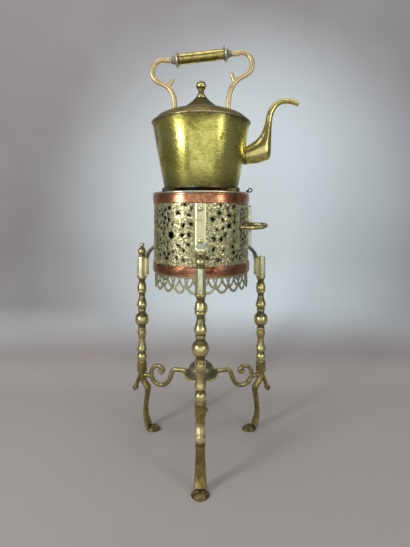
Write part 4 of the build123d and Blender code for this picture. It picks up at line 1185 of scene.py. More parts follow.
@dataclass
class Foliage:
    """The scrolling leaf pattern that is pierced in the drum and its door."""

    radius: float = 94.0
    low: float = 361.0
    high: float = 466.5
    scroll_columns: int = 9
    rings: tuple[float, ...] = (8.5, 18.5, 28.0)
    spacing: float = 8.7
    strap_half: float = 11.5
    strap_low: float = 386.0
    door_edges: Pair = (-44.2, -2.5)
    door_heights: Pair = (383.7, 468.3)
    hinge_reach: float = 13.5
    medallions: tuple[Triple, ...] = ((-125.4, 412.4, 6.4), (-56.8, 428.7, 4.5))
    seed: int = 5
    leaves: list[Leaf] = field(default_factory=list)

    @property
    def around(self) -> float:
        """Length once round the drum."""
        return TURN * self.radius

    def place(self, azimuth: float) -> float:
        """The place round the drum of an azimuth in degrees."""
        return math.radians(azimuth) * self.radius

    def gap(self, first: Union[float, Array], second: float) -> Union[float, Array]:
        """The shorter way round between two places."""
        return abs((first - second + self.around / 2) % self.around - self.around / 2)

    def is_free(self, across: float, up: float, room: float) -> bool:
        """True where a leaf has plain metal round it: clear of straps, door edges, hinge and bands.

        Args:
            across: Place round the drum.
            up: Height.
            room: Metal that the leaf needs round its middle.

        Returns:
            True where it fits.
        """
        if not self.low + room < up < self.high - room + 3:
            return False
        for azimuth in LEG_AZIMUTHS.values():
            if up > self.strap_low and self.gap(across, self.place(azimuth)) < self.strap_half + room:
                return False
        first, last = (self.place(edge) for edge in self.door_edges)
        for edge, reach in ((first, 3.0), (last, self.hinge_reach)):
            beside = self.door_heights[0] - room - 2 < up < self.door_heights[1] + room + 2
            if beside and self.gap(across, edge) < reach + room:
                return False
        inside = 0.0 < (across - first) % self.around < last - first
        for height in self.door_heights:
            if inside and abs(up - height) < room + 2.5:
                return False
        return True

    def fineness(self, across: float) -> float:
        """How large a leaf is: 1 at the front and sides, falling to 0.42 on the finer pierced back."""
        behind = self.gap(across, self.place(90.0)) / self.place(90.0)
        return 0.42 + 0.58 * min(1.0, max(0.0, (behind - 0.62) / 0.25))

    def grow(self) -> None:
        """Sets the leaves: rings of leaning leaves round scroll centres, kept apart by the spacing."""
        rng = np.random.default_rng(self.seed)
        taken: list[Triple] = []
        for azimuth, height, half in self.medallions:
            across = self.place(azimuth)
            self.leaves.append(Leaf(across, height, 90.0, half, half * 0.96))
            taken.append((across, height, half + 4.5))
        pitch = self.around / self.scroll_columns
        rows = (self.low + 0.27 * (self.high - self.low), self.low + 0.76 * (self.high - self.low))
        for column in range(self.scroll_columns):
            for row, centre_up in enumerate(rows):
                centre = pitch * (column + 0.5 * row) + rng.uniform(-2.0, 2.0)
                handed = 1.0 if (column + row) % 2 else -1.0
                for index, ring in enumerate(self.rings):
                    count = int(TURN * ring / (self.spacing + 1.2))
                    start = rng.uniform(0.0, TURN)
                    for number in range(count):
                        angle = start + TURN * number / count
                        across = centre + ring * math.cos(angle)
                        up = centre_up + ring * math.sin(angle)
                        length = rng.uniform(3.0, 4.6) * self.fineness(across)
                        front = bell(self.gap(across, self.place(-90.0)), 0, 62, 4)
                        apart = self.spacing * (1.0 + 0.42 * front)
                        if not self.is_free(across, up, length * 0.8):
                            continue
                        if any(math.hypot(self.gap(across, x), up - z) < max(room, apart)
                               for x, z, room in taken):
                            continue
                        lean = math.degrees(angle) + handed * (62.0 - 14.0 * index)
                        lean += rng.uniform(-16.0, 16.0)
                        self.leaves.append(Leaf(across, up, lean, length, length * rng.uniform(0.5, 0.7)))
                        taken.append((across, up, apart))

    def metal(self, across: Array, up: Array) -> Array:
        """How far each place lies from the nearest leaf, below 0 inside one.

        Args:
            across: Place of each point of the grid.
            up: Its height.

        Returns:
            The distance, at most 30.
        """
        field_value = np.full(across.shape, 30.0)
        for leaf in self.leaves:
            near = np.abs(up[0] - leaf.up) < 9.0
            field_value[:, near] = np.minimum(
                field_value[:, near], leaf.distance(across[:, near], up[:, near], self.around))
        return field_value


@dataclass
class Gallery(SubAssembly):
    """The drum: pierced sheet, two copper bands, wired rim, scalloped skirt, shelf, rests and lug."""

    foliage: Foliage
    low: float = 339.0
    high: float = 488.0
    pitch: float = 1.6
    sheet: float = 1.55
    band_inner: float = 94.05
    band_outer: float = 95.5
    top_band: Pair = (470.0, 488.0)
    low_band: Pair = (339.0, 357.5)
    rim_radius: float = 2.0
    doorway: tuple[float, float, float, float] = (-44.37, -2.37, 383.4, 468.6)
    skirt_radius: float = 92.35
    skirt_low: float = 308.0
    skirt_high: float = 353.0
    scallops: int = 22
    skirt_pitch: float = 1.15
    strip_half: float = 2.4

    def build(self) -> None:
        """Makes every piece of the drum."""
        self.make_sheet()
        self.make_bands()
        self.make_skirt()
        self.keep("burner_shelf", FINISHES.shelf)
        self.keep("kettle_rests", FINISHES.rests)
        self.keep("rim_lug", FINISHES.iron)

    def make_sheet(self) -> None:
        """Pierces the sheet with the leaves and the doorway.

        The doorway's distance is the larger of the distances past its sides and past its ends.
        """
        columns = int(self.foliage.around / self.pitch)
        across = np.arange(columns) * (self.foliage.around / columns)
        up = steps(self.low, self.high, self.pitch)
        u, v = np.meshgrid(across, up, indexing="ij")
        metal = self.foliage.metal(u, v)
        first, last, bottom, top = self.doorway
        middle = self.foliage.place((first + last) / 2)
        half = self.foliage.place((last - first) / 2)
        beside = self.foliage.gap(u, middle) - half
        beyond = np.abs(v - (bottom + top) / 2) - (top - bottom) / 2
        metal = np.minimum(metal, np.maximum(beside, beyond))
        shape = rolled(self.foliage.radius, across, up, metal, closed=True)
        piece = self.make("gallery", shape, FINISHES.gallery, "gallery_sheet")
        self.thicken(piece, self.sheet, FINISHES.soot)

    def band(self, low: float, high: float, ridges: Sequence[Pair]) -> Array:
        """The closed profile of a band with rolled ridges at given heights and of given depths.

        Args:
            low: Its lower edge.
            high: Its upper edge.
            ridges: Height and depth of each ridge.

        Returns:
            The profile.
        """
        height = np.linspace(low, high, 41)
        proud = sum(depth * bell(height, ridge, 0.9) for ridge, depth in ridges)
        edge = np.minimum(height - low, high - height)
        bow = 0.35 * np.sin(np.pi * (height - low) / (high - low))
        radius = self.band_outer - 0.35 * np.exp(-edge / 0.4) + np.minimum(proud, 0.6) + bow
        outside = stacked(radius, height)
        return np.vstack([outside, [(self.band_inner, high), (self.band_inner, low)], outside[:1]])

    def make_bands(self) -> None:
        """Makes the two bands and the wired rim, and leaves verdigris where the kettle drips."""
        for name, node, (low, high), below_edge, depth, seed in (
                ("copper_band_above", "top_band", self.top_band, 2.2, 0.2, 3),
                ("copper_band_below", "low_band", self.low_band, 1.6, 0.55, 4)):
            profile = self.band(low, high, ((low + 1.2, 0.25), (high - below_edge, depth)))
            self.make(name, turned(profile, 144, dent=0.34, seed=seed), FINISHES.copper, node)
        bend = np.linspace(0.0, TURN, 13)
        wire = stacked(
            self.foliage.radius + self.rim_radius * np.cos(bend),
            self.high + self.rim_radius + self.rim_radius * np.sin(bend))
        shape = turned(wire, 144, dent=0.15, seed=6)
        shape.marked("verdigris", lambda p: 0.9 * bell(azimuth_of(p), -103, 13))
        self.make("wired_rim", shape, FINISHES.rim, "rim_wire")

    def make_skirt(self) -> None:
        """Pierces the skirt: strips that follow interlaced ovals, with a scalloped lower edge.

        The distance from an oval is taken as its level less 1, times the level, over the length of
        its slope. Metal stays within half a strip of an oval, within the plain band above, and
        round the small hole between two scallops. The field is the largest of these.
        """
        around = TURN * self.skirt_radius
        step = around / self.scallops
        columns = self.scallops * int(step / self.skirt_pitch)
        across = np.arange(columns) * (around / columns)
        up = steps(self.skirt_low, self.skirt_high, self.skirt_pitch)
        u, v = np.meshgrid(across, up, indexing="ij")
        metal = np.full(u.shape, -30.0)
        x = (u + step / 2) % step - step / 2
        for family, rise, half in ((0.0, 0.0, self.strip_half), (0.5, 8.5, self.strip_half * 0.8)):
            wide, tall = 0.64 * step, 30.0
            for shift in (-1.5, -1.0, -0.5, 0.0, 0.5, 1.0, 1.5):
                if (shift - family) % 1.0 != 0.0:
                    continue
                beside, over = (x + shift * step) / wide, (v - self.skirt_low - rise - tall) / tall
                level = np.hypot(beside, over) + 1e-6
                away = (level - 1.0) * level / np.hypot(beside / wide, over / tall).clip(1e-6)
                metal = np.maximum(metal, half - np.abs(away + half))
        eyelet = np.hypot(np.abs(x) - step / 2, v - self.skirt_low - 24.8)
        metal = np.maximum(metal, 4.4 - eyelet)
        metal = np.maximum(metal, v - (self.skirt_low + 27.4))
        metal = np.minimum(metal, eyelet - 1.7)
        shape = rolled(self.skirt_radius, across, up, metal, closed=True, sink=0.25, reach=0.8, inset=0.05)
        piece = self.make("scalloped_skirt", shape, FINISHES.skirt, "skirt")
        self.thicken(piece, 1.3)


@dataclass
class Door(SubAssembly):
    """The door of the drum: pierced panel, edge strip, hinge leaf and loop."""

    body: ClassVar[Body] = Body.DOOR
    foliage: Foliage
    edges: Pair = (-44.0, -2.73)
    heights: Pair = (384.0, 468.0)
    pitch: float = 1.3
    pull_azimuth: float = -30.0
    pull_height: float = 428.0
    pull_tilt: float = 9.0
    pull_reach: float = 135.0
    pull_half: float = 17.0
    pull_rod: float = 3.7
    pull_bend: float = 15.0
    drum_radius: float = 94.0

    def build(self) -> None:
        """Makes the door and its fittings."""
        across = steps(*(self.foliage.place(edge) for edge in self.edges), self.pitch)
        up = steps(*self.heights, self.pitch)
        metal = self.foliage.metal(*np.meshgrid(across, up, indexing="ij"))
        shape = rolled(self.foliage.radius, across, up, metal, closed=False)
        piece = self.make("door_sheet", shape, FINISHES.gallery, "door_panel")
        self.thicken(piece, 1.55, FINISHES.soot)
        self.keep("door_strip", FINISHES.strip)
        self.keep("door_leaf", FINISHES.strip)
        self.keep("frame_leaf", FINISHES.strip)
        self.keep("hinge_pin", FINISHES.iron)
        self.make_pull()

    def make_pull(self) -> None:
        """Makes the loop: two straight arms, two quarter bends and the rod between, in a tilted plane."""
        turn, tilt = math.radians(self.pull_azimuth), math.radians(self.pull_tilt)
        stand = Stand(
            origin=(0.0, 0.0, self.pull_height), along=(math.cos(turn), math.sin(turn), 0.0),
            up=(-math.sin(turn) * math.cos(tilt), math.cos(turn) * math.cos(tilt), math.sin(tilt)),
            across=(math.sin(turn) * math.sin(tilt), -math.cos(turn) * math.sin(tilt), math.cos(tilt)))
        bend = np.linspace(0.0, math.pi / 2, 9)
        far, half, r = self.pull_reach, self.pull_half, self.pull_bend
        start = self.drum_radius + 0.2
        lower = stacked(far - r + r * np.sin(bend), -half + r - r * np.cos(bend))
        upper = stacked(far - r + r * np.cos(bend), half - r + r * np.sin(bend))
        straight = np.linspace(start + 4, far - r - 2, 6)
        path = np.vstack([
            [(start, -half)], stacked(straight, np.full(6, -half)), lower, upper,
            stacked(straight[::-1], np.full(6, half)), [(start, half)]])
        ends = np.minimum(path[:, 0] - start, 8.0)
        radius = self.pull_rod * (0.94 + 0.1 * np.sin(path[:, 1] * 0.21) ** 2) + 1.6 * np.exp(-ends / 1.6)
        shape = swept(path, radius, radius, round_section(18), stand, domed=(False, False))
        shape.marked("hollow", lambda p: np.exp(-(from_axis(p) - start - 3.0) ** 2 / 8.0))
        self.make("door_loop", shape, FINISHES.arm, "pull_loop")


# ---- legs and stretcher
@dataclass
class Leg(SubAssembly):
    """One leg: strap, octagonal post, finial, turned shaft and cast foot; the strap's rivets are kept with
    the stretcher.
    """

    name: str
    azimuth: float
    has_finial: bool = True
    toe_out: bool = False
    circle: float = 132.0
    strap_back: float = 94.05
    strap_thickness: float = 4.0
    post_face: float = 122.55
    collar_top: float = 319.0
    block_top: float = 139.4
    block_low: float = 116.0
    ball_height: float = 227.7
    bore: float = 2.55
    pad_reach: float = 26.5
    pad_half: float = 14.6
    pad_width: float = 13.2

    @property
    def plane(self) -> Stand:
        """The upright plane through the leg and the axis of the stand."""
        return radial_plane(self.azimuth)

    @property
    def centre(self) -> Pair:
        """Where the axis of the leg stands on the floor."""
        turn = math.radians(self.azimuth)
        return self.circle * math.cos(turn), self.circle * math.sin(turn)

    def build(self) -> None:
        """Makes every piece of the leg."""
        self.make_strap()
        self.make_post()
        if self.has_finial:
            self.make_finial()
        self.make_shaft()
        self.make_foot()

    def make_strap(self) -> None:
        """Carries the bevelled section down the drum, out over the slant and down the post."""
        middle = self.strap_back + self.strap_thickness / 2
        foot = self.post_face - self.strap_thickness / 2
        path = outline(
            [(middle, 469), (middle, 440)], [(middle, 412)], [(middle, 394)],
            [(middle + 0.9, 388.4), (middle + 4.6, 384.2)], [(middle + 13, 377.6), (foot - 4.2, 370)],
            [(foot - 0.9, 363), (foot, 354)], [(foot, 322)], per_span=5)
        narrow = np.clip((388.0 - path[:, 1]) / 30.0, 0.0, 1.0)
        wide = 9.5 - 3.0 * narrow
        shape = swept(
            path, np.full(len(path), self.strap_thickness / 2), wide, BEVELLED_BAR, self.plane,
            domed=(False, False))
        shape.marked("verdigris", lambda p: 0.8 * bell(p[:, 2], 394, 7))
        # Painted shadow: the strap is darkened where it bends out over the slant and runs down beside the
        # post.
        shape.marked("hollow", lambda p: 1.15 * bell(p[:, 2], 371, 15, 4))
        self.make(f"strap_bracket_{self.name}", shape, FINISHES.strap, f"strap_{self.name}", sharp=24)

    def make_post(self) -> None:
        """Turns the post with eight corners, as a shallow cone with chamfered ends and a bored foot."""
        low, high = self.collar_top, 360.4
        profile = np.array([
            (self.bore, low + 12), (self.bore, low), (8.7 * OCTAGON_CORNER, low),
            (9.4 * OCTAGON_CORNER, low + 0.9), (8.5 * OCTAGON_CORNER, high - 1.2),
            (7.4 * OCTAGON_CORNER, high), (0, high)])
        shape = turned(profile, 8, self.centre, start=math.radians(self.azimuth) + math.pi / 8)
        piece = self.make(f"leg_post_{self.name}", shape, FINISHES.post, f"post_{self.name}", sharp=28)
        self.soften(piece, 0.45)

    def make_finial(self) -> None:
        """Turns the finial: a stepped foot, a pear and a small ball on a thin neck."""
        profile = outline(
            [(0, 360.45), (6.4, 360.45)], [(6.4, 362.4)], [(7.5, 364), (6.3, 365.6)], [(8.3, 368.6),
            (8.8, 371.4), (7.6, 375.2), (5, 378.2), (3.2, 379.8), (2.7, 380.8)], [(3, 381.8)],
            [(4.9, 382.9), (5.5, 384.6), (4.9, 386.6), (3, 388.3), (0, 389)], per_span=4)
        shape = turned(profile, 36, self.centre, groove=2.2)
        self.make(f"leg_finial_{self.name}", shape, FINISHES.leg, f"finial_{self.name}")

    def make_shaft(self) -> None:
        """Turns the long shaft, whose profile runs through its rings, vases and ball."""
        top, ball, low = self.collar_top - 0.05, self.ball_height, self.block_top + 0.05
        profile = outline(
            *at_level(
                top, [(self.bore, 0), (9.6, 0)], [(10.5, -1.2), (10.2, -2.8)], [(7.6, -7), (6.4, -9.8),
                (6.2, -12.6)], [(7.7, -14.6), (9, -18.6), (9.9, -23), (10.3, -26.4)], [(9.7, -27.6),
                (8.2, -28.2)], [(8.2, -28.9)], [(9.7, -30), (9.8, -32.2), (8, -34.6)], [(6.2, -38)],
                [(6.7, -45), (8.4, -51.6), (9.6, -55)], [(10.9, -58.6), (10.5, -62.6), (8.2, -66.8)],
                [(7.6, -67.6)], [(8.6, -71), (7.6, -74.4)]),
            *at_level(
                ball, [(7, 13.4)], [(10.2, 10.8), (13.4, 6.6), (14.75, 0), (13.4, -6.6), (10.2, -10.8),
                (7.2, -13.3)], [(7.2, -16.4)], [(8.3, -18), (8.2, -21), (7.4, -22.8)], [(9.2, -23.6)],
                [(9.6, -27.5), (9.2, -31)], [(8.4, -32.4)], [(7.3, -40), (7.2, -47.6)], [(8.6, -54.6),
                (10.2, -60.8), (10.4, -65)], [(7.6, -66.6)], [(7.4, -71)]),
            *at_level(
                low, [(9.6, 13.85), (10.4, 9.25), (9.4, 4.8), (8.4, 2)], [(9, 0)], [(self.bore, 0)]),
            [(self.bore, top)], per_span=5)
        shape = turned(profile, 40, self.centre, groove=3.2)
        self.make(f"turned_shaft_{self.name}", shape, FINISHES.leg, f"baluster_{self.name}")

    def make_foot(self) -> None:
        """Makes the foot: chamfered block, bent limb with a ridge, spur with a curled end, and paw."""
        way = 1.0 if self.toe_out else -1.0
        turn = math.radians(self.azimuth)
        x, y = way * math.cos(turn), way * math.sin(turn)
        stand = Stand(origin=(*self.centre, 0.0), along=(x, y, 0.0), across=(-y, x, 0.0))
        low, high, half = self.block_low, self.block_top, 9.4 * OCTAGON_CORNER
        block = turned(np.array([
            (0, low), (half - 1.6, low), (half, low + 1.6), (half, high - 1.6), (half - 1.6, high),
            (self.bore, high), (self.bore, high - 11), (0, high - 11)]),
            8, self.centre, start=turn + math.pi / 8).plain()
        shape = block.joined(self.limb(stand)).joined(self.spur(stand)).joined(self.paw(stand))
        self.make(f"cast_foot_{self.name}", shape, FINISHES.foot, f"foot_{self.name}", sharp=34)

    def limb(self, stand: Stand) -> Shape:
        """The bent limb: keeled sections on a smooth line of place, lean, thickness and width.

        Args:
            stand: Axes of the foot.

        Returns:
            The shape.
        """
        stations = smooth_line([
            (0, 120, -90, 7.4, 7.6), (1, 108, -82, 6.8, 7.5), (4.8, 98.6, -52, 6.1, 7.7),
            (9.8, 92, -50, 5.9, 7.9), (13.2, 87, -64, 7, 8.5), (14.4, 82.4, -90, 5.8, 8.2),
            (13.4, 74, -98, 5.2, 7.8), (11, 58, -99, 4.8, 7.9), (9.2, 38, -92, 4.6, 8.7),
            (10.8, 22, -80, 5.2, 9.7), (15.5, 8, -68, 6.2, 10.8)], 6)
        shape = swept(
            stations[:, :2], stations[:, 3], stations[:, 4], KEELED_BAR, stand,
            domed=(False, False), lean=np.radians(stations[:, 2]))
        level = shape.points[:, 2]
        # The limb is darker near the floor.
        shape.marks["hollow"] = 0.35 * (level < 14.0)
        # On the foot whose toe points out: painted shade in a band under the knee, and painted highlights on
        # the upward bulge and the knee above it.
        if self.toe_out:
            shape.marks["hollow"] += 0.75 * bell(level, 78, 3.6)
            shape.marks["worn"] = 0.5 * bell(level, 97, 6) + 0.9 * bell(level, 85.6, 2.4)
        return shape

    def spur(self, stand: Stand) -> Shape:
        """The spur on the other side: a tapered rod that bends down and ends in a small roll.

        Args:
            stand: Axes of the foot.

        Returns:
            The shape.
        """
        path = smooth_line([(-1, 115), (-4.6, 107.4), (-8.2, 99.6), (-11.6, 91), (-14.6, 83)], 5)
        share = np.linspace(0.0, 1.0, len(path))
        rod = swept(path, 4.7 - 1.0 * share, 4.8 - 0.6 * share, round_section(14), stand, domed=(False, True))
        bend = angles(20)
        across = np.array([-5.2, -5, -4.1, 4.1, 5, 5.2])
        radius = np.array([0, 4.4, 5.4, 5.4, 4.4, 0])
        along = -15.2 + radius[:, None] * np.cos(bend)[None, :]
        up = 81.6 + radius[:, None] * np.sin(bend)[None, :]
        roll = stand.place(along, up, np.repeat(across[:, None], len(bend), 1)).reshape(-1, 3)
        return rod.joined(Shape(roll, grid_faces(len(across), len(bend))))

    def paw(self, stand: Stand) -> Shape:
        """The flat paw: a half ellipsoid whose rim bulges into three toes, with rows of small scales.

        The rim's radius is the ellipse's, times 1 plus a part of the cosine of three turns on the
        toe's side. The height is the ellipsoid's, plus the product of two waves for the scales.

        Args:
            stand: Axes of the foot.

        Returns:
            The shape, flat underneath.
        """
        rows, columns = 26, 72
        polar = np.linspace(0.0, math.pi / 2, rows)[:, None]
        angle = angles(columns)[None, :]
        toes = 0.5 + 0.5 * np.cos(angle)
        rim = 1.0 + 0.075 * np.cos(3.0 * angle) * toes - 0.05 * (1.0 - toes)
        flat = np.sin(polar) ** 0.8
        scales = 0.42 * np.sin(flat * 30.0) * np.sin(angle * 11.0 + np.floor(flat * 9.5) * math.pi)
        along = self.pad_reach + self.pad_half * flat * rim * np.cos(angle)
        across = self.pad_width * flat * rim * np.sin(angle)
        groove = 0.9 * toes * (1.0 - np.abs(np.cos(1.5 * angle))) ** 3 * flat
        up = 7.4 * np.cos(polar) ** 0.75 * (1.0 + 0.0 * angle) + (scales - groove) * np.cos(polar) ** 0.2
        up = np.maximum(up, 0.0)
        up[-1] = 0.0
        top = stand.place(along, up, across)
        sole = stand.place(along[-1:] * 0.0 + self.pad_reach, np.zeros((1, columns)), across[-1:] * 0.0)
        points = np.concatenate([top, sole]).reshape(-1, 3)
        hollow = np.clip(np.abs(scales) * -2.0 + 0.85 + groove * 0.6, 0.0, 1.0)
        marks = np.concatenate([hollow, np.zeros((1, columns))]).reshape(-1)
        return Shape(points, grid_faces(rows + 1, columns), {"hollow": marks})


@dataclass
class Stretcher(SubAssembly):
    """The boss in the middle, its four scrolled arms, and the rivets and rods of the four legs."""

    rim: float = 129.0
    under: float = 121.0
    boss_rise: float = 27.0
    bore: float = 3.05
    block_low: float = 116.0

    def build(self) -> None:
        """Makes the boss and the arms, and dresses the screw, the rivets and the rods."""
        profile = outline(
            [(self.bore, self.under), (21, self.under)], *at_level(
                self.rim, [(34, -2.6)], [(35.7, -1.8), (35.8, -0.5), (35, 0)], [(31, 2.2), (27.4, 6)],
                [(27.2, 8), (25.4, 10)], [(23.4, 16), (18.6, 21.4), (11.4, 25.4),
                (self.bore, self.boss_rise)]),
            [(self.bore, self.under)], per_span=6)
        shape = turned(profile, 72, dent=0.25, seed=8, groove=5)
        self.make("stretcher_boss", shape, FINISHES.boss, "boss")
        self.keep("boss_screw", FINISHES.arm)
        self.keep("strap_rivets", FINISHES.leg)
        self.keep("tie_rods", FINISHES.iron)
        for name, azimuth in LEG_AZIMUTHS.items():
            self.make_arm(name, azimuth)

    def make_arm(self, name: str, azimuth: float) -> None:
        """Carries a round-cornered section from the boss through the dip into the curl, and adds the stub.

        Args:
            name: Name of the leg that the arm runs to.
            azimuth: Its azimuth in degrees.
        """
        path = smooth_line([
            (33, 131), (46, 131.6), (57, 130.6), (62.6, 126), (66.2, 116), (70.6, 105.6), (77.6, 98),
            (88, 95), (98.6, 96.8), (106.6, 103.4), (110.2, 113.4), (108.6, 124), (102, 131.6),
            (93, 133.6), (85.8, 130.2), (83.4, 124.6), (86.4, 120.8), (90.6, 122.4)], 5)
        share = np.linspace(0.0, 1.0, len(path))
        half = 4.3 + 0.35 * np.sin(share * 9.0) - 1.6 * share ** 5
        plane = radial_plane(azimuth)
        bar = swept(path, half, half + 0.7, square_section(20, 3.0), plane)
        low = self.block_low - 5.0
        stub = smooth_line([(108.4, low + 1.5), *((x, low) for x in (112, 118, 122, 126, 131))], 3)
        swell = 3.9 + 2.0 * bell(stub[:, 0], 116, 2.6)
        shape = bar.joined(swept(stub, swell, swell, round_section(18), plane))
        end = plane.place(np.array(90.8), np.array(123.2), np.array(0.0))
        shape = shape.joined(ball(end, 4.4))
        shape.marked("hollow", lambda p: 0.5 * bell(from_axis(p), 111.5, 2.5))
        self.make(f"scroll_arm_{name}", shape, FINISHES.arm, f"arm_{name}", sharp=50)


# ---- kettle
@dataclass
class Kettle(SubAssembly):
    """The kettle: flared wall, base pan, domed shoulder, bead and spout."""

    body: ClassVar[Body] = Body.KETTLE
    base_radius: float = 73.0
    shoulder_radius: float = 97.0
    foot: float = 500.35
    shoulder_height: float = 631.0
    shoulder_rise: float = 27.0
    wall: float = 1.5
    neck: float = 36.7
    pan_low: float = 498.3
    bead: float = 1.7
    spout_wall: float = 1.4
    spout_stations: Points = (
        (74, 564.5, 3, 15.4, 15.2), (84, 565.6, 5, 16.6, 16), (95, 568.4, 6, 18.7, 16.6),
        (107, 572.6, 11, 21.2, 17), (117.5, 577.2, 20, 22.8, 16.8), (124.2, 581.2, 28, 23.9, 16.4),
        (127.4, 587, 33, 21.4, 15.6), (129, 595.2, 39, 17.3, 14.2), (130.6, 604.6, 52, 12.5, 12.4),
        (132.2, 615.4, 68, 9.4, 10.4), (134.6, 631, 84, 7.2, 8.2), (137.8, 649, 76, 6.6, 7.2),
        (142, 659.4, 62, 6.3, 6.8), (149, 668.4, 41, 5.9, 6.4), (158.5, 674.4, 20, 5.5, 6.1),
        (172, 676.4, 0, 5.2, 5.9), (184, 674.6, -13, 5.3, 5.9), (195.6, 671.2, -18, 5.5, 6.1))

    def wall_line(self, inwards: float) -> Array:
        """The wall's outer line, moved in: a smooth line through four rings.

        Args:
            inwards: How far it is moved in.

        Returns:
            The line.
        """
        flare = self.shoulder_radius - self.base_radius
        rise = self.shoulder_height - self.foot
        return smooth_line([
            (self.base_radius - inwards, self.foot),
            (self.base_radius + 0.53 * flare - inwards, self.foot + 0.49 * rise),
            (self.base_radius + 0.82 * flare - inwards, self.foot + 0.81 * rise),
            (self.shoulder_radius - inwards, self.shoulder_height - self.bead)], 14)

    def shoulder_line(self, inwards: float) -> Array:
        """The shoulder's outer line, moved in: a smooth line from the seam to the mouth.

        Args:
            inwards: How far it is moved in.

        Returns:
            The line.
        """
        edge, seam, rise = self.shoulder_radius, self.shoulder_height, self.shoulder_rise
        return smooth_line([
            (edge - inwards, seam), (edge - 5.6 - inwards * 0.8, seam + 0.22 * rise - inwards * 0.6),
            (edge - 12.5 - inwards * 0.7, seam + 0.43 * rise - inwards * 0.7),
            (edge - 32, seam + 0.74 * rise - inwards), (self.neck, seam + rise - 0.8 - inwards)], 9)

    def closed(self, line: Callable[[float], Array]) -> Array:
        """The closed profile between a line and the same line moved in by the wall."""
        return np.vstack([line(0.0), line(self.wall)[::-1], line(0.0)[:1]])

    def build(self) -> None:
        """Makes the kettle's pieces."""
        self.make_wall()
        self.make_shoulder()
        self.make_spout()
        self.keep("neck_ring", FINISHES.shoulder)

    def make_wall(self) -> None:
        """Turns the wall as one closed sheet, cuts the spout's hole, and turns the pan below it."""
        shape = turned(self.closed(self.wall_line), 160, dent=0.22, seed=21).plain()
        piece = self.make("kettle_wall", shape, FINISHES.kettle, "kettle_body")
        self.carve(piece, self.spout_surface(self.spout_wall, True))
        pan = outline(
            [(0, self.pan_low), (73.6, self.pan_low)], [(74.7, self.pan_low + 0.4),
            (75, self.pan_low + 1.4)], [(75, 502.2)], [(73.85, 502.3)], [(73.85, 500.3)],
            [(0, 500.3)])
        shape = turned(pan, 120, dent=0.1, seed=22)
        shape.marked("verdigris", lambda p: 0.58 * bell(azimuth_of(p), -104, 17) * (from_axis(p) > 70.0))
        self.make("kettle_pan", shape, FINISHES.pan, "kettle_base")

    def make_shoulder(self) -> None:
        """Turns the domed shoulder and the bead on its seam."""
        shape = turned(self.closed(self.shoulder_line), 144, dent=0.18, seed=23).plain()
        self.make("kettle_dome", shape, FINISHES.shoulder, "kettle_shoulder")
        middle, edge = self.shoulder_height - self.bead / 2, self.shoulder_radius + 0.05
        reach = self.shoulder_radius + 0.4 + self.bead
        profile = outline(
            [(edge, middle - self.bead), (edge + 1.2, middle - self.bead + 0.2), (reach, middle),
            (edge + 1.2, middle + self.bead - 0.2), (edge, middle + self.bead)],
            [(edge, middle - self.bead)])
        self.make("seam_roll", turned(profile, 144, dent=0.12, seed=24), FINISHES.seam, "seam_bead")

    def spout_surface(self, inset: float, solid: bool) -> Shape:
        """The spout's surface, drawn in by an inset, through its stations."""
        stations = smooth_line(self.spout_stations, 6)
        return swept(
            stations[:, :2], stations[:, 3] - inset, stations[:, 4] - inset, round_section(40), Stand(),
            domed=(False, False), lean=np.radians(stations[:, 2]), capped=solid)

    def make_spout(self) -> None:
        """Joins the outer and inner surface at both ends, and cuts the beak and the kettle's wall away."""
        outside, inside = self.spout_surface(0.0, False), self.spout_surface(self.spout_wall, False)
        columns = 40
        rows = len(outside.points) // columns
        back = inside.points.reshape(rows, columns, 3)[::-1].reshape(-1, 3)
        points = np.vstack([outside.points, back, outside.points[:columns]])
        root = from_axis(points)
        hollow = 0.8 * bell(root, 88, 3) * (points[:, 2] < 600.0)
        shape = Shape(points, grid_faces(2 * rows + 1, columns), {"hollow": hollow})
        piece = self.make("swan_spout", shape, FINISHES.spout, "spout")
        line = self.wall_line(-0.05)
        plug = np.vstack([[(0, line[0, 1])], line, [(0, line[-1, 1])]])
        self.carve(piece, turned(plug, 160, dent=0.22, seed=21))
        self.carve(piece, self.beak())

    @staticmethod
    def beak() -> Shape:
        """The wedge that is cut out of the tip: a triangle carried across the spout.

        Returns:
            The closed shape.
        """
        corner = np.array([(183.0, 674.0), (200.0, 677.0), (200.0, 665.0)])
        points = np.vstack([np.insert(corner, 1, side, axis=1) for side in (-12.0, 12.0)])
        return Shape(points, [[0, 1, 2], [5, 4, 3], [0, 3, 4, 1], [1, 4, 5, 2], [2, 5, 3, 0]])


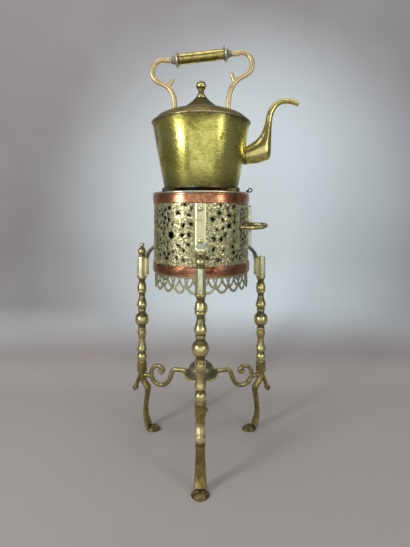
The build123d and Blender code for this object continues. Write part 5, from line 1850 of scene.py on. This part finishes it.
@dataclass
class Handle(SubAssembly):
    """The bail handle: two cast scrolls, two bell ferrules, the sleeve, its rod and the studs."""

    body: ClassVar[Body] = Body.KETTLE
    grip_height: float = 765.2
    grip_tilt: float = 6.8
    grip_half: float = 47.5
    grip_radius: float = 10.8
    grip_wall: float = 1.4
    half_thickness: float = 4.9
    half_width: float = 4.9
    foot_x: float = 54.2
    foot_height: float = 654.1

    def tipped(self, shape: Shape, flip: bool = False) -> Shape:
        """A shape turned about Z, laid on the axis of the grip.

        Args:
            shape: The shape.
            flip: True where it is turned end for end.

        Returns:
            The shape in its place.
        """
        x, y, z = shape.points.T
        if flip:
            x, z = -x, -z
        tilt = math.radians(self.grip_tilt)
        placed = stacked(
            z * math.cos(tilt) - x * math.sin(tilt), y,
            self.grip_height + z * math.sin(tilt) + x * math.cos(tilt))
        return Shape(placed, shape.faces, shape.marks)

    def line(self, x: float) -> float:
        """Height of the grip's axis at a place along it."""
        return self.grip_height + x * math.tan(math.radians(self.grip_tilt))

    def build(self) -> None:
        """Makes the handle's pieces."""
        self.make_grip()
        for side, name in ((1.0, "spout_side"), (-1.0, "far_side")):
            self.make_ferrule(side, name)
            self.make_scroll(side, name)
        self.keep("grip_rod", FINISHES.iron)
        self.keep("handle_studs", FINISHES.iron)

    def make_grip(self) -> None:
        """Turns the sleeve with rolled rims and shallow dents."""
        half, outer, inner = self.grip_half, self.grip_radius, self.grip_radius - self.grip_wall
        level = np.linspace(-half, half, 61)
        ends = half - np.abs(level)
        rim = 0.35 * bell(ends, 3, 1) - 0.4 * np.exp(-ends / 0.5)
        outside = stacked(outer - 0.2 + np.minimum(rim, 0.2), level)
        profile = np.vstack([outside, [(inner, half), (inner, -half)], outside[:1]])
        shape = self.tipped(turned(profile, 64, dent=0.16, seed=31))
        along = np.hypot(shape.points[:, 0], shape.points[:, 2] - self.grip_height)
        shape.marks["hollow"] = 0.9 * np.exp(-np.abs(along - half + 1.0) / 2.2)
        self.make("grip_tube", shape, FINISHES.grip, "grip_sleeve")

    def make_ferrule(self, side: float, name: str) -> None:
        """Turns the bell: a wide flange over the sleeve's end that narrows to the scroll.

        Args:
            side: 1 at the spout, -1 at the far end.
            name: Name of the side.
        """
        half = self.grip_half
        profile = outline(
            *at_level(
                half, [(3.55, 0.05), (10.85, 0.05)], [(10.85, -1.5)], [(12.2, -1.6)], [(14.4, -0.6),
                (15.9, 0.8)], [(16.2, 1.8), (15.4, 3.2)], [(12.2, 4), (9.2, 6), (7.4, 9), (6.4, 12.95)],
                [(3.55, 12.95)], [(3.55, 0.05)]), per_span=5)
        shape = self.tipped(turned(profile, 56, dent=0.12, seed=33, groove=4), flip=side < 0)
        self.make(f"bell_{name}", shape, FINISHES.ferrule, f"ferrule_{name}")

    def make_scroll(self, side: float, name: str) -> None:
        """Carries the section round the loop and down the stem, with a thorn and a flared foot.

        Args:
            side: 1 at the spout, -1 at the far end.
            name: Name of the side.
        """
        if side > 0:
            points = [
                (60.2, self.line(60.2)), (68, 770.6), (78, 773.4), (88, 773), (96.6, 767.6), (101.6, 757.6),
                (101.8, 745.6), (97.4, 735.4), (88.6, 728.6), (78, 722.6), (68.4, 714.4), (60.4, 702),
                (55.8, 687), (54.4, 672), (54.2, 660), (54.2, 653.4)]
            thorn_line = [(67.6, 712.6), (65.6, 718.5), (63.2, 725), (60.6, 731)]
        else:
            points = [
                (60.2, self.line(-60.2)), (68, 757.6), (77, 758.6), (87, 755.6), (94.6, 747.6),
                (98.4, 736.6), (96.6, 725.6), (89.6, 716.8), (80, 711.4), (70.6, 706.6), (62.8, 700),
                (56.6, 689.4), (53.8, 677), (53.6, 666), (54.2, 659), (54.2, 653.4)]
            thorn_line = [(67.6, 704.6), (64.6, 708.5), (61, 713.2), (57.4, 717.8)]
        path = smooth_line(points, 6)
        share = np.linspace(0.0, 1.0, len(path))
        half = self.half_thickness - 0.35 * np.sin(share * 8.0) ** 2 + 0.25 * share
        stand = Stand(along=(side, 0.0, 0.0), across=(0.0, side, 0.0))
        bar = swept(path, half, half * self.half_width / self.half_thickness, square_section(20, 2.6), stand)
        thorn = smooth_line(thorn_line, 6)
        taper = np.linspace(1.0, 0.0, len(thorn))
        spike = swept(thorn, 4.0 + 0.6 * taper, 3.8 + 0.6 * taper, square_section(16, 2.4), stand)
        foot = self.foot_height
        profile = outline(
            *at_level(
                foot, [(0, -1.6), (6.4, -1.6)], [(7, 0.6), (6.6, 2)], [(5.6, 3.2), (5.2, 5), (4.9, 8)],
                [(0, 8.2)]),
            per_span=4)
        flare = turned(profile, 32, (side * self.foot_x, 0))
        shape = bar.joined(spike).joined(flare)
        shape.marked("hollow", lambda p: 0.7 * bell(p[:, 2] - foot, 1, 3))
        self.make(f"cast_scroll_{name}", shape, FINISHES.scroll, f"scroll_{name}", sharp=50)


@dataclass
class Lid(SubAssembly):
    """The loose lid: conical cover, collar and knob."""

    body: ClassVar[Body] = Body.LID
    seat: float = 658.3
    radius: float = 38.0
    inner: float = 34.8
    sheet: float = 1.4
    knob_foot: float = 682.0

    def build(self) -> None:
        """Makes the lid's pieces."""
        seat, top = self.seat, self.knob_foot - 0.05
        rise = top - seat
        profile = outline(
            [(self.inner, seat), (self.radius - 0.6, seat)], [(self.radius, seat + 0.8),
            (self.radius - 0.8, seat + 1.4)], [(34.6, seat + 0.18 * rise), (29.2, seat + 0.35 * rise),
            (23.8, seat + 0.53 * rise), (17.4, seat + 0.76 * rise), (13.4, top - 1), (12.2, top)],
            [(0, top)])
        under = outline(
            [(0, top - self.sheet), (11, top - self.sheet)], [(15, seat + 0.66 * rise),
            (21.6, seat + 0.4 * rise), (28.4, seat + 0.2 * rise), (self.inner, seat + 0.8)],
            [(self.inner, seat)])
        shape = turned(np.vstack([profile, under]), 96, dent=0.15, seed=41, groove=1.5)
        self.make("cone_lid", shape, FINISHES.lid, "lid_cover")
        self.keep("lid_collar", FINISHES.shoulder)
        self.make_knob()

    def make_knob(self) -> None:
        """Turns the knob: stacked rings, a waisted stem, a pear and a small cap."""
        profile = outline(
            *at_level(
                self.knob_foot, [(0, 0), (10.4, 0)], [(11, 0.8), (11, 2), (10.2, 2.9)], [(8.8, 3.3)],
                [(9.3, 4.6), (8.8, 6.2)], [(7.2, 7.2)], [(6, 10.2), (5.7, 13.6), (6.4, 16.8), (7.2, 19.2)],
                [(9.8, 21), (10.9, 23.6), (10.4, 26), (9.2, 27.8)], [(8.6, 28.6)],
                [(9, 29.6), (8, 31.6), (5, 33.6), (0, 34.5)]), per_span=5)
        self.make("turned_knob", turned(profile, 48, groove=3), FINISHES.knob, "lid_knob")


@dataclass
class Burner(SubAssembly):
    """The loose spirit burner: font, collar and wick."""

    body: ClassVar[Body] = Body.BURNER
    base: float = 340.85
    radius: float = 34.0
    height: float = 36.0
    wall: float = 1.3
    neck: float = 13.0

    def build(self) -> None:
        """Makes the burner's pieces."""
        top, low = self.base + self.height, self.base
        outer = smooth_line([
            (30, low), (33.4, low + 5), (self.radius, low + 12), (32.2, low + 20),
            (28, top - 8), (20, top - 2.6), (self.neck, top)], 6)
        sunk = (outer[:, 1:] - low) / self.height * np.array([[0.0, self.wall]])
        inner = outer - np.array([self.wall, 0.0]) - sunk + np.array([0, 0.4])
        profile = np.vstack([
            [(0, low)], outer, [(10, top), (10, top - self.wall)], inner[::-1], [(0, low + 0.6)]])
        self.make("spirit_font", turned(profile, 72, dent=0.2, seed=51), FINISHES.shelf, "burner_font")
        self.keep("burner_collar", FINISHES.leg)
        self.keep("wick", FINISHES.wick)


# ---- studio and camera
@dataclass(frozen=True)
class Softbox:
    """A soft light, turned from the camera's direction; it faces the axis, or a given point."""

    name: str
    turn: float
    distance: float
    height: float
    width: float
    tall: float
    power: float
    colour: Triple = (1.0, 0.98, 0.96)
    aim: Optional[Triple] = None

    def build(self) -> None:
        """Makes the light and turns it to the axis of the stand, level with itself, or to its aim."""
        lamp = bpy.data.lights.new(self.name, "AREA")
        lamp.shape = "RECTANGLE"
        lamp.size, lamp.size_y = self.width * MM, self.tall * MM
        lamp.energy = self.power
        lamp.color = self.colour
        light = put_in_scene(self.name, lamp)
        turn = math.radians(self.turn)
        light.location = Vector((math.sin(turn), -math.cos(turn), 0.0)) * self.distance * MM
        light.location.z = self.height * MM
        aim = Vector((-light.location.x, -light.location.y, 0.0))
        if self.aim is not None:
            aim = Vector(self.aim) * MM - light.location
        light.rotation_mode = "QUATERNION"
        light.rotation_quaternion = aim.to_track_quat("-Z", "Y")
        light.visible_camera = False


@dataclass(frozen=True)
class Studio:
    """The paper sweep, the lights and the camera."""

    sweep_start: float = 170.0
    sweep_radius: float = 320.0
    sweep_half_width: float = 1000.0
    sweep_front: float = -1150.0
    sweep_top: float = 1700.0
    camera_place: Triple = (7.6, -753.0, 453.0)
    lens: float = 24.68
    shift_y: float = -0.1115
    sky: Triple = (0.5, 0.52, 0.55)
    sky_strength: float = 0.28
    lights: tuple[Softbox, ...] = (
        Softbox("key_light", -49, 1500, 850, 320, 900, 11.5),
        Softbox("fill_light", 46, 1700, 870, 360, 820, 5),
        Softbox("room_light", 3, 2600, 640, 3400, 2000, 16.5, (0.97, 0.985, 1)),
        Softbox(
            "top_light", 0, 220, 1900, 1900, 900, 9.5, (0.97, 0.985, 1), (60, 490, 520)),
    )

    def sweep(self) -> None:
        """Makes the floor and wall: a straight floor, a quarter circle and a straight wall."""
        bend = np.linspace(0.0, math.pi / 2, 33)
        rise = self.sweep_radius
        line = np.vstack([
            [(self.sweep_front, 0)],
            stacked(self.sweep_start + rise * np.sin(bend), rise - rise * np.cos(bend)),
            [(self.sweep_start + rise, self.sweep_top)],
        ])
        width = np.linspace(-self.sweep_half_width, self.sweep_half_width, 3)
        points = stacked(
            np.repeat(width[None, :], len(line), 0), np.repeat(line[:, :1], 3, 1),
            np.repeat(line[:, 1:], 3, 1)).reshape(-1, 3)
        mesh = Shape(points, grid_faces(len(line), 3, close_columns=False)).mesh("paper_sweep")
        mesh.shade_smooth()
        mesh.materials.append(PaperBackdrop("paper", "paper").material())
        put_in_scene("paper_sweep", mesh)

    def camera(self) -> None:
        """Makes the level camera in front of the stand."""
        eye = bpy.data.cameras.new("camera")
        eye.lens = self.lens
        eye.shift_y = self.shift_y
        eye.clip_start, eye.clip_end = 0.02, 30.0
        holder = put_in_scene("camera", eye)
        holder.location = Vector(self.camera_place) * MM
        holder.rotation_euler = (math.radians(90.0), 0.0, 0.0)
        bpy.context.scene.camera = holder

    def build(self) -> None:
        """Makes the whole studio."""
        self.sweep()
        for light in self.lights:
            light.build()
        world = bpy.data.worlds.new("studio_air")
        world.use_nodes = True
        background = world.node_tree.nodes["Background"]
        background.inputs["Color"].default_value = (*self.sky, 1.0)
        background.inputs["Strength"].default_value = self.sky_strength
        bpy.context.scene.world = world
        self.camera()
        bpy.context.scene.view_settings.view_transform = "Standard"


def main() -> None:
    """Builds the stand, the door, the kettle, the lid, the burner and the studio, in that order."""
    logging.basicConfig(level=logging.INFO, format="%(message)s")
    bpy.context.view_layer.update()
    foliage = Foliage()
    foliage.grow()
    legs = [Leg(name, LEG_AZIMUTHS[name], has_finial=name != "right") for name in ("right", "back", "left")]
    front = Leg("front", LEG_AZIMUTHS["front"], toe_out=True, pad_reach=21.5, pad_half=12.0, pad_width=15.4)
    stand = (Gallery(foliage), Door(foliage), front, *legs, Stretcher())
    for part in (*stand, Kettle(), Handle(), Lid(), Burner()):
        part.build()
    Studio().build()
    LOG.info("%d pieces", len(SubAssembly.pieces))


if __name__ == "__main__":
    main()
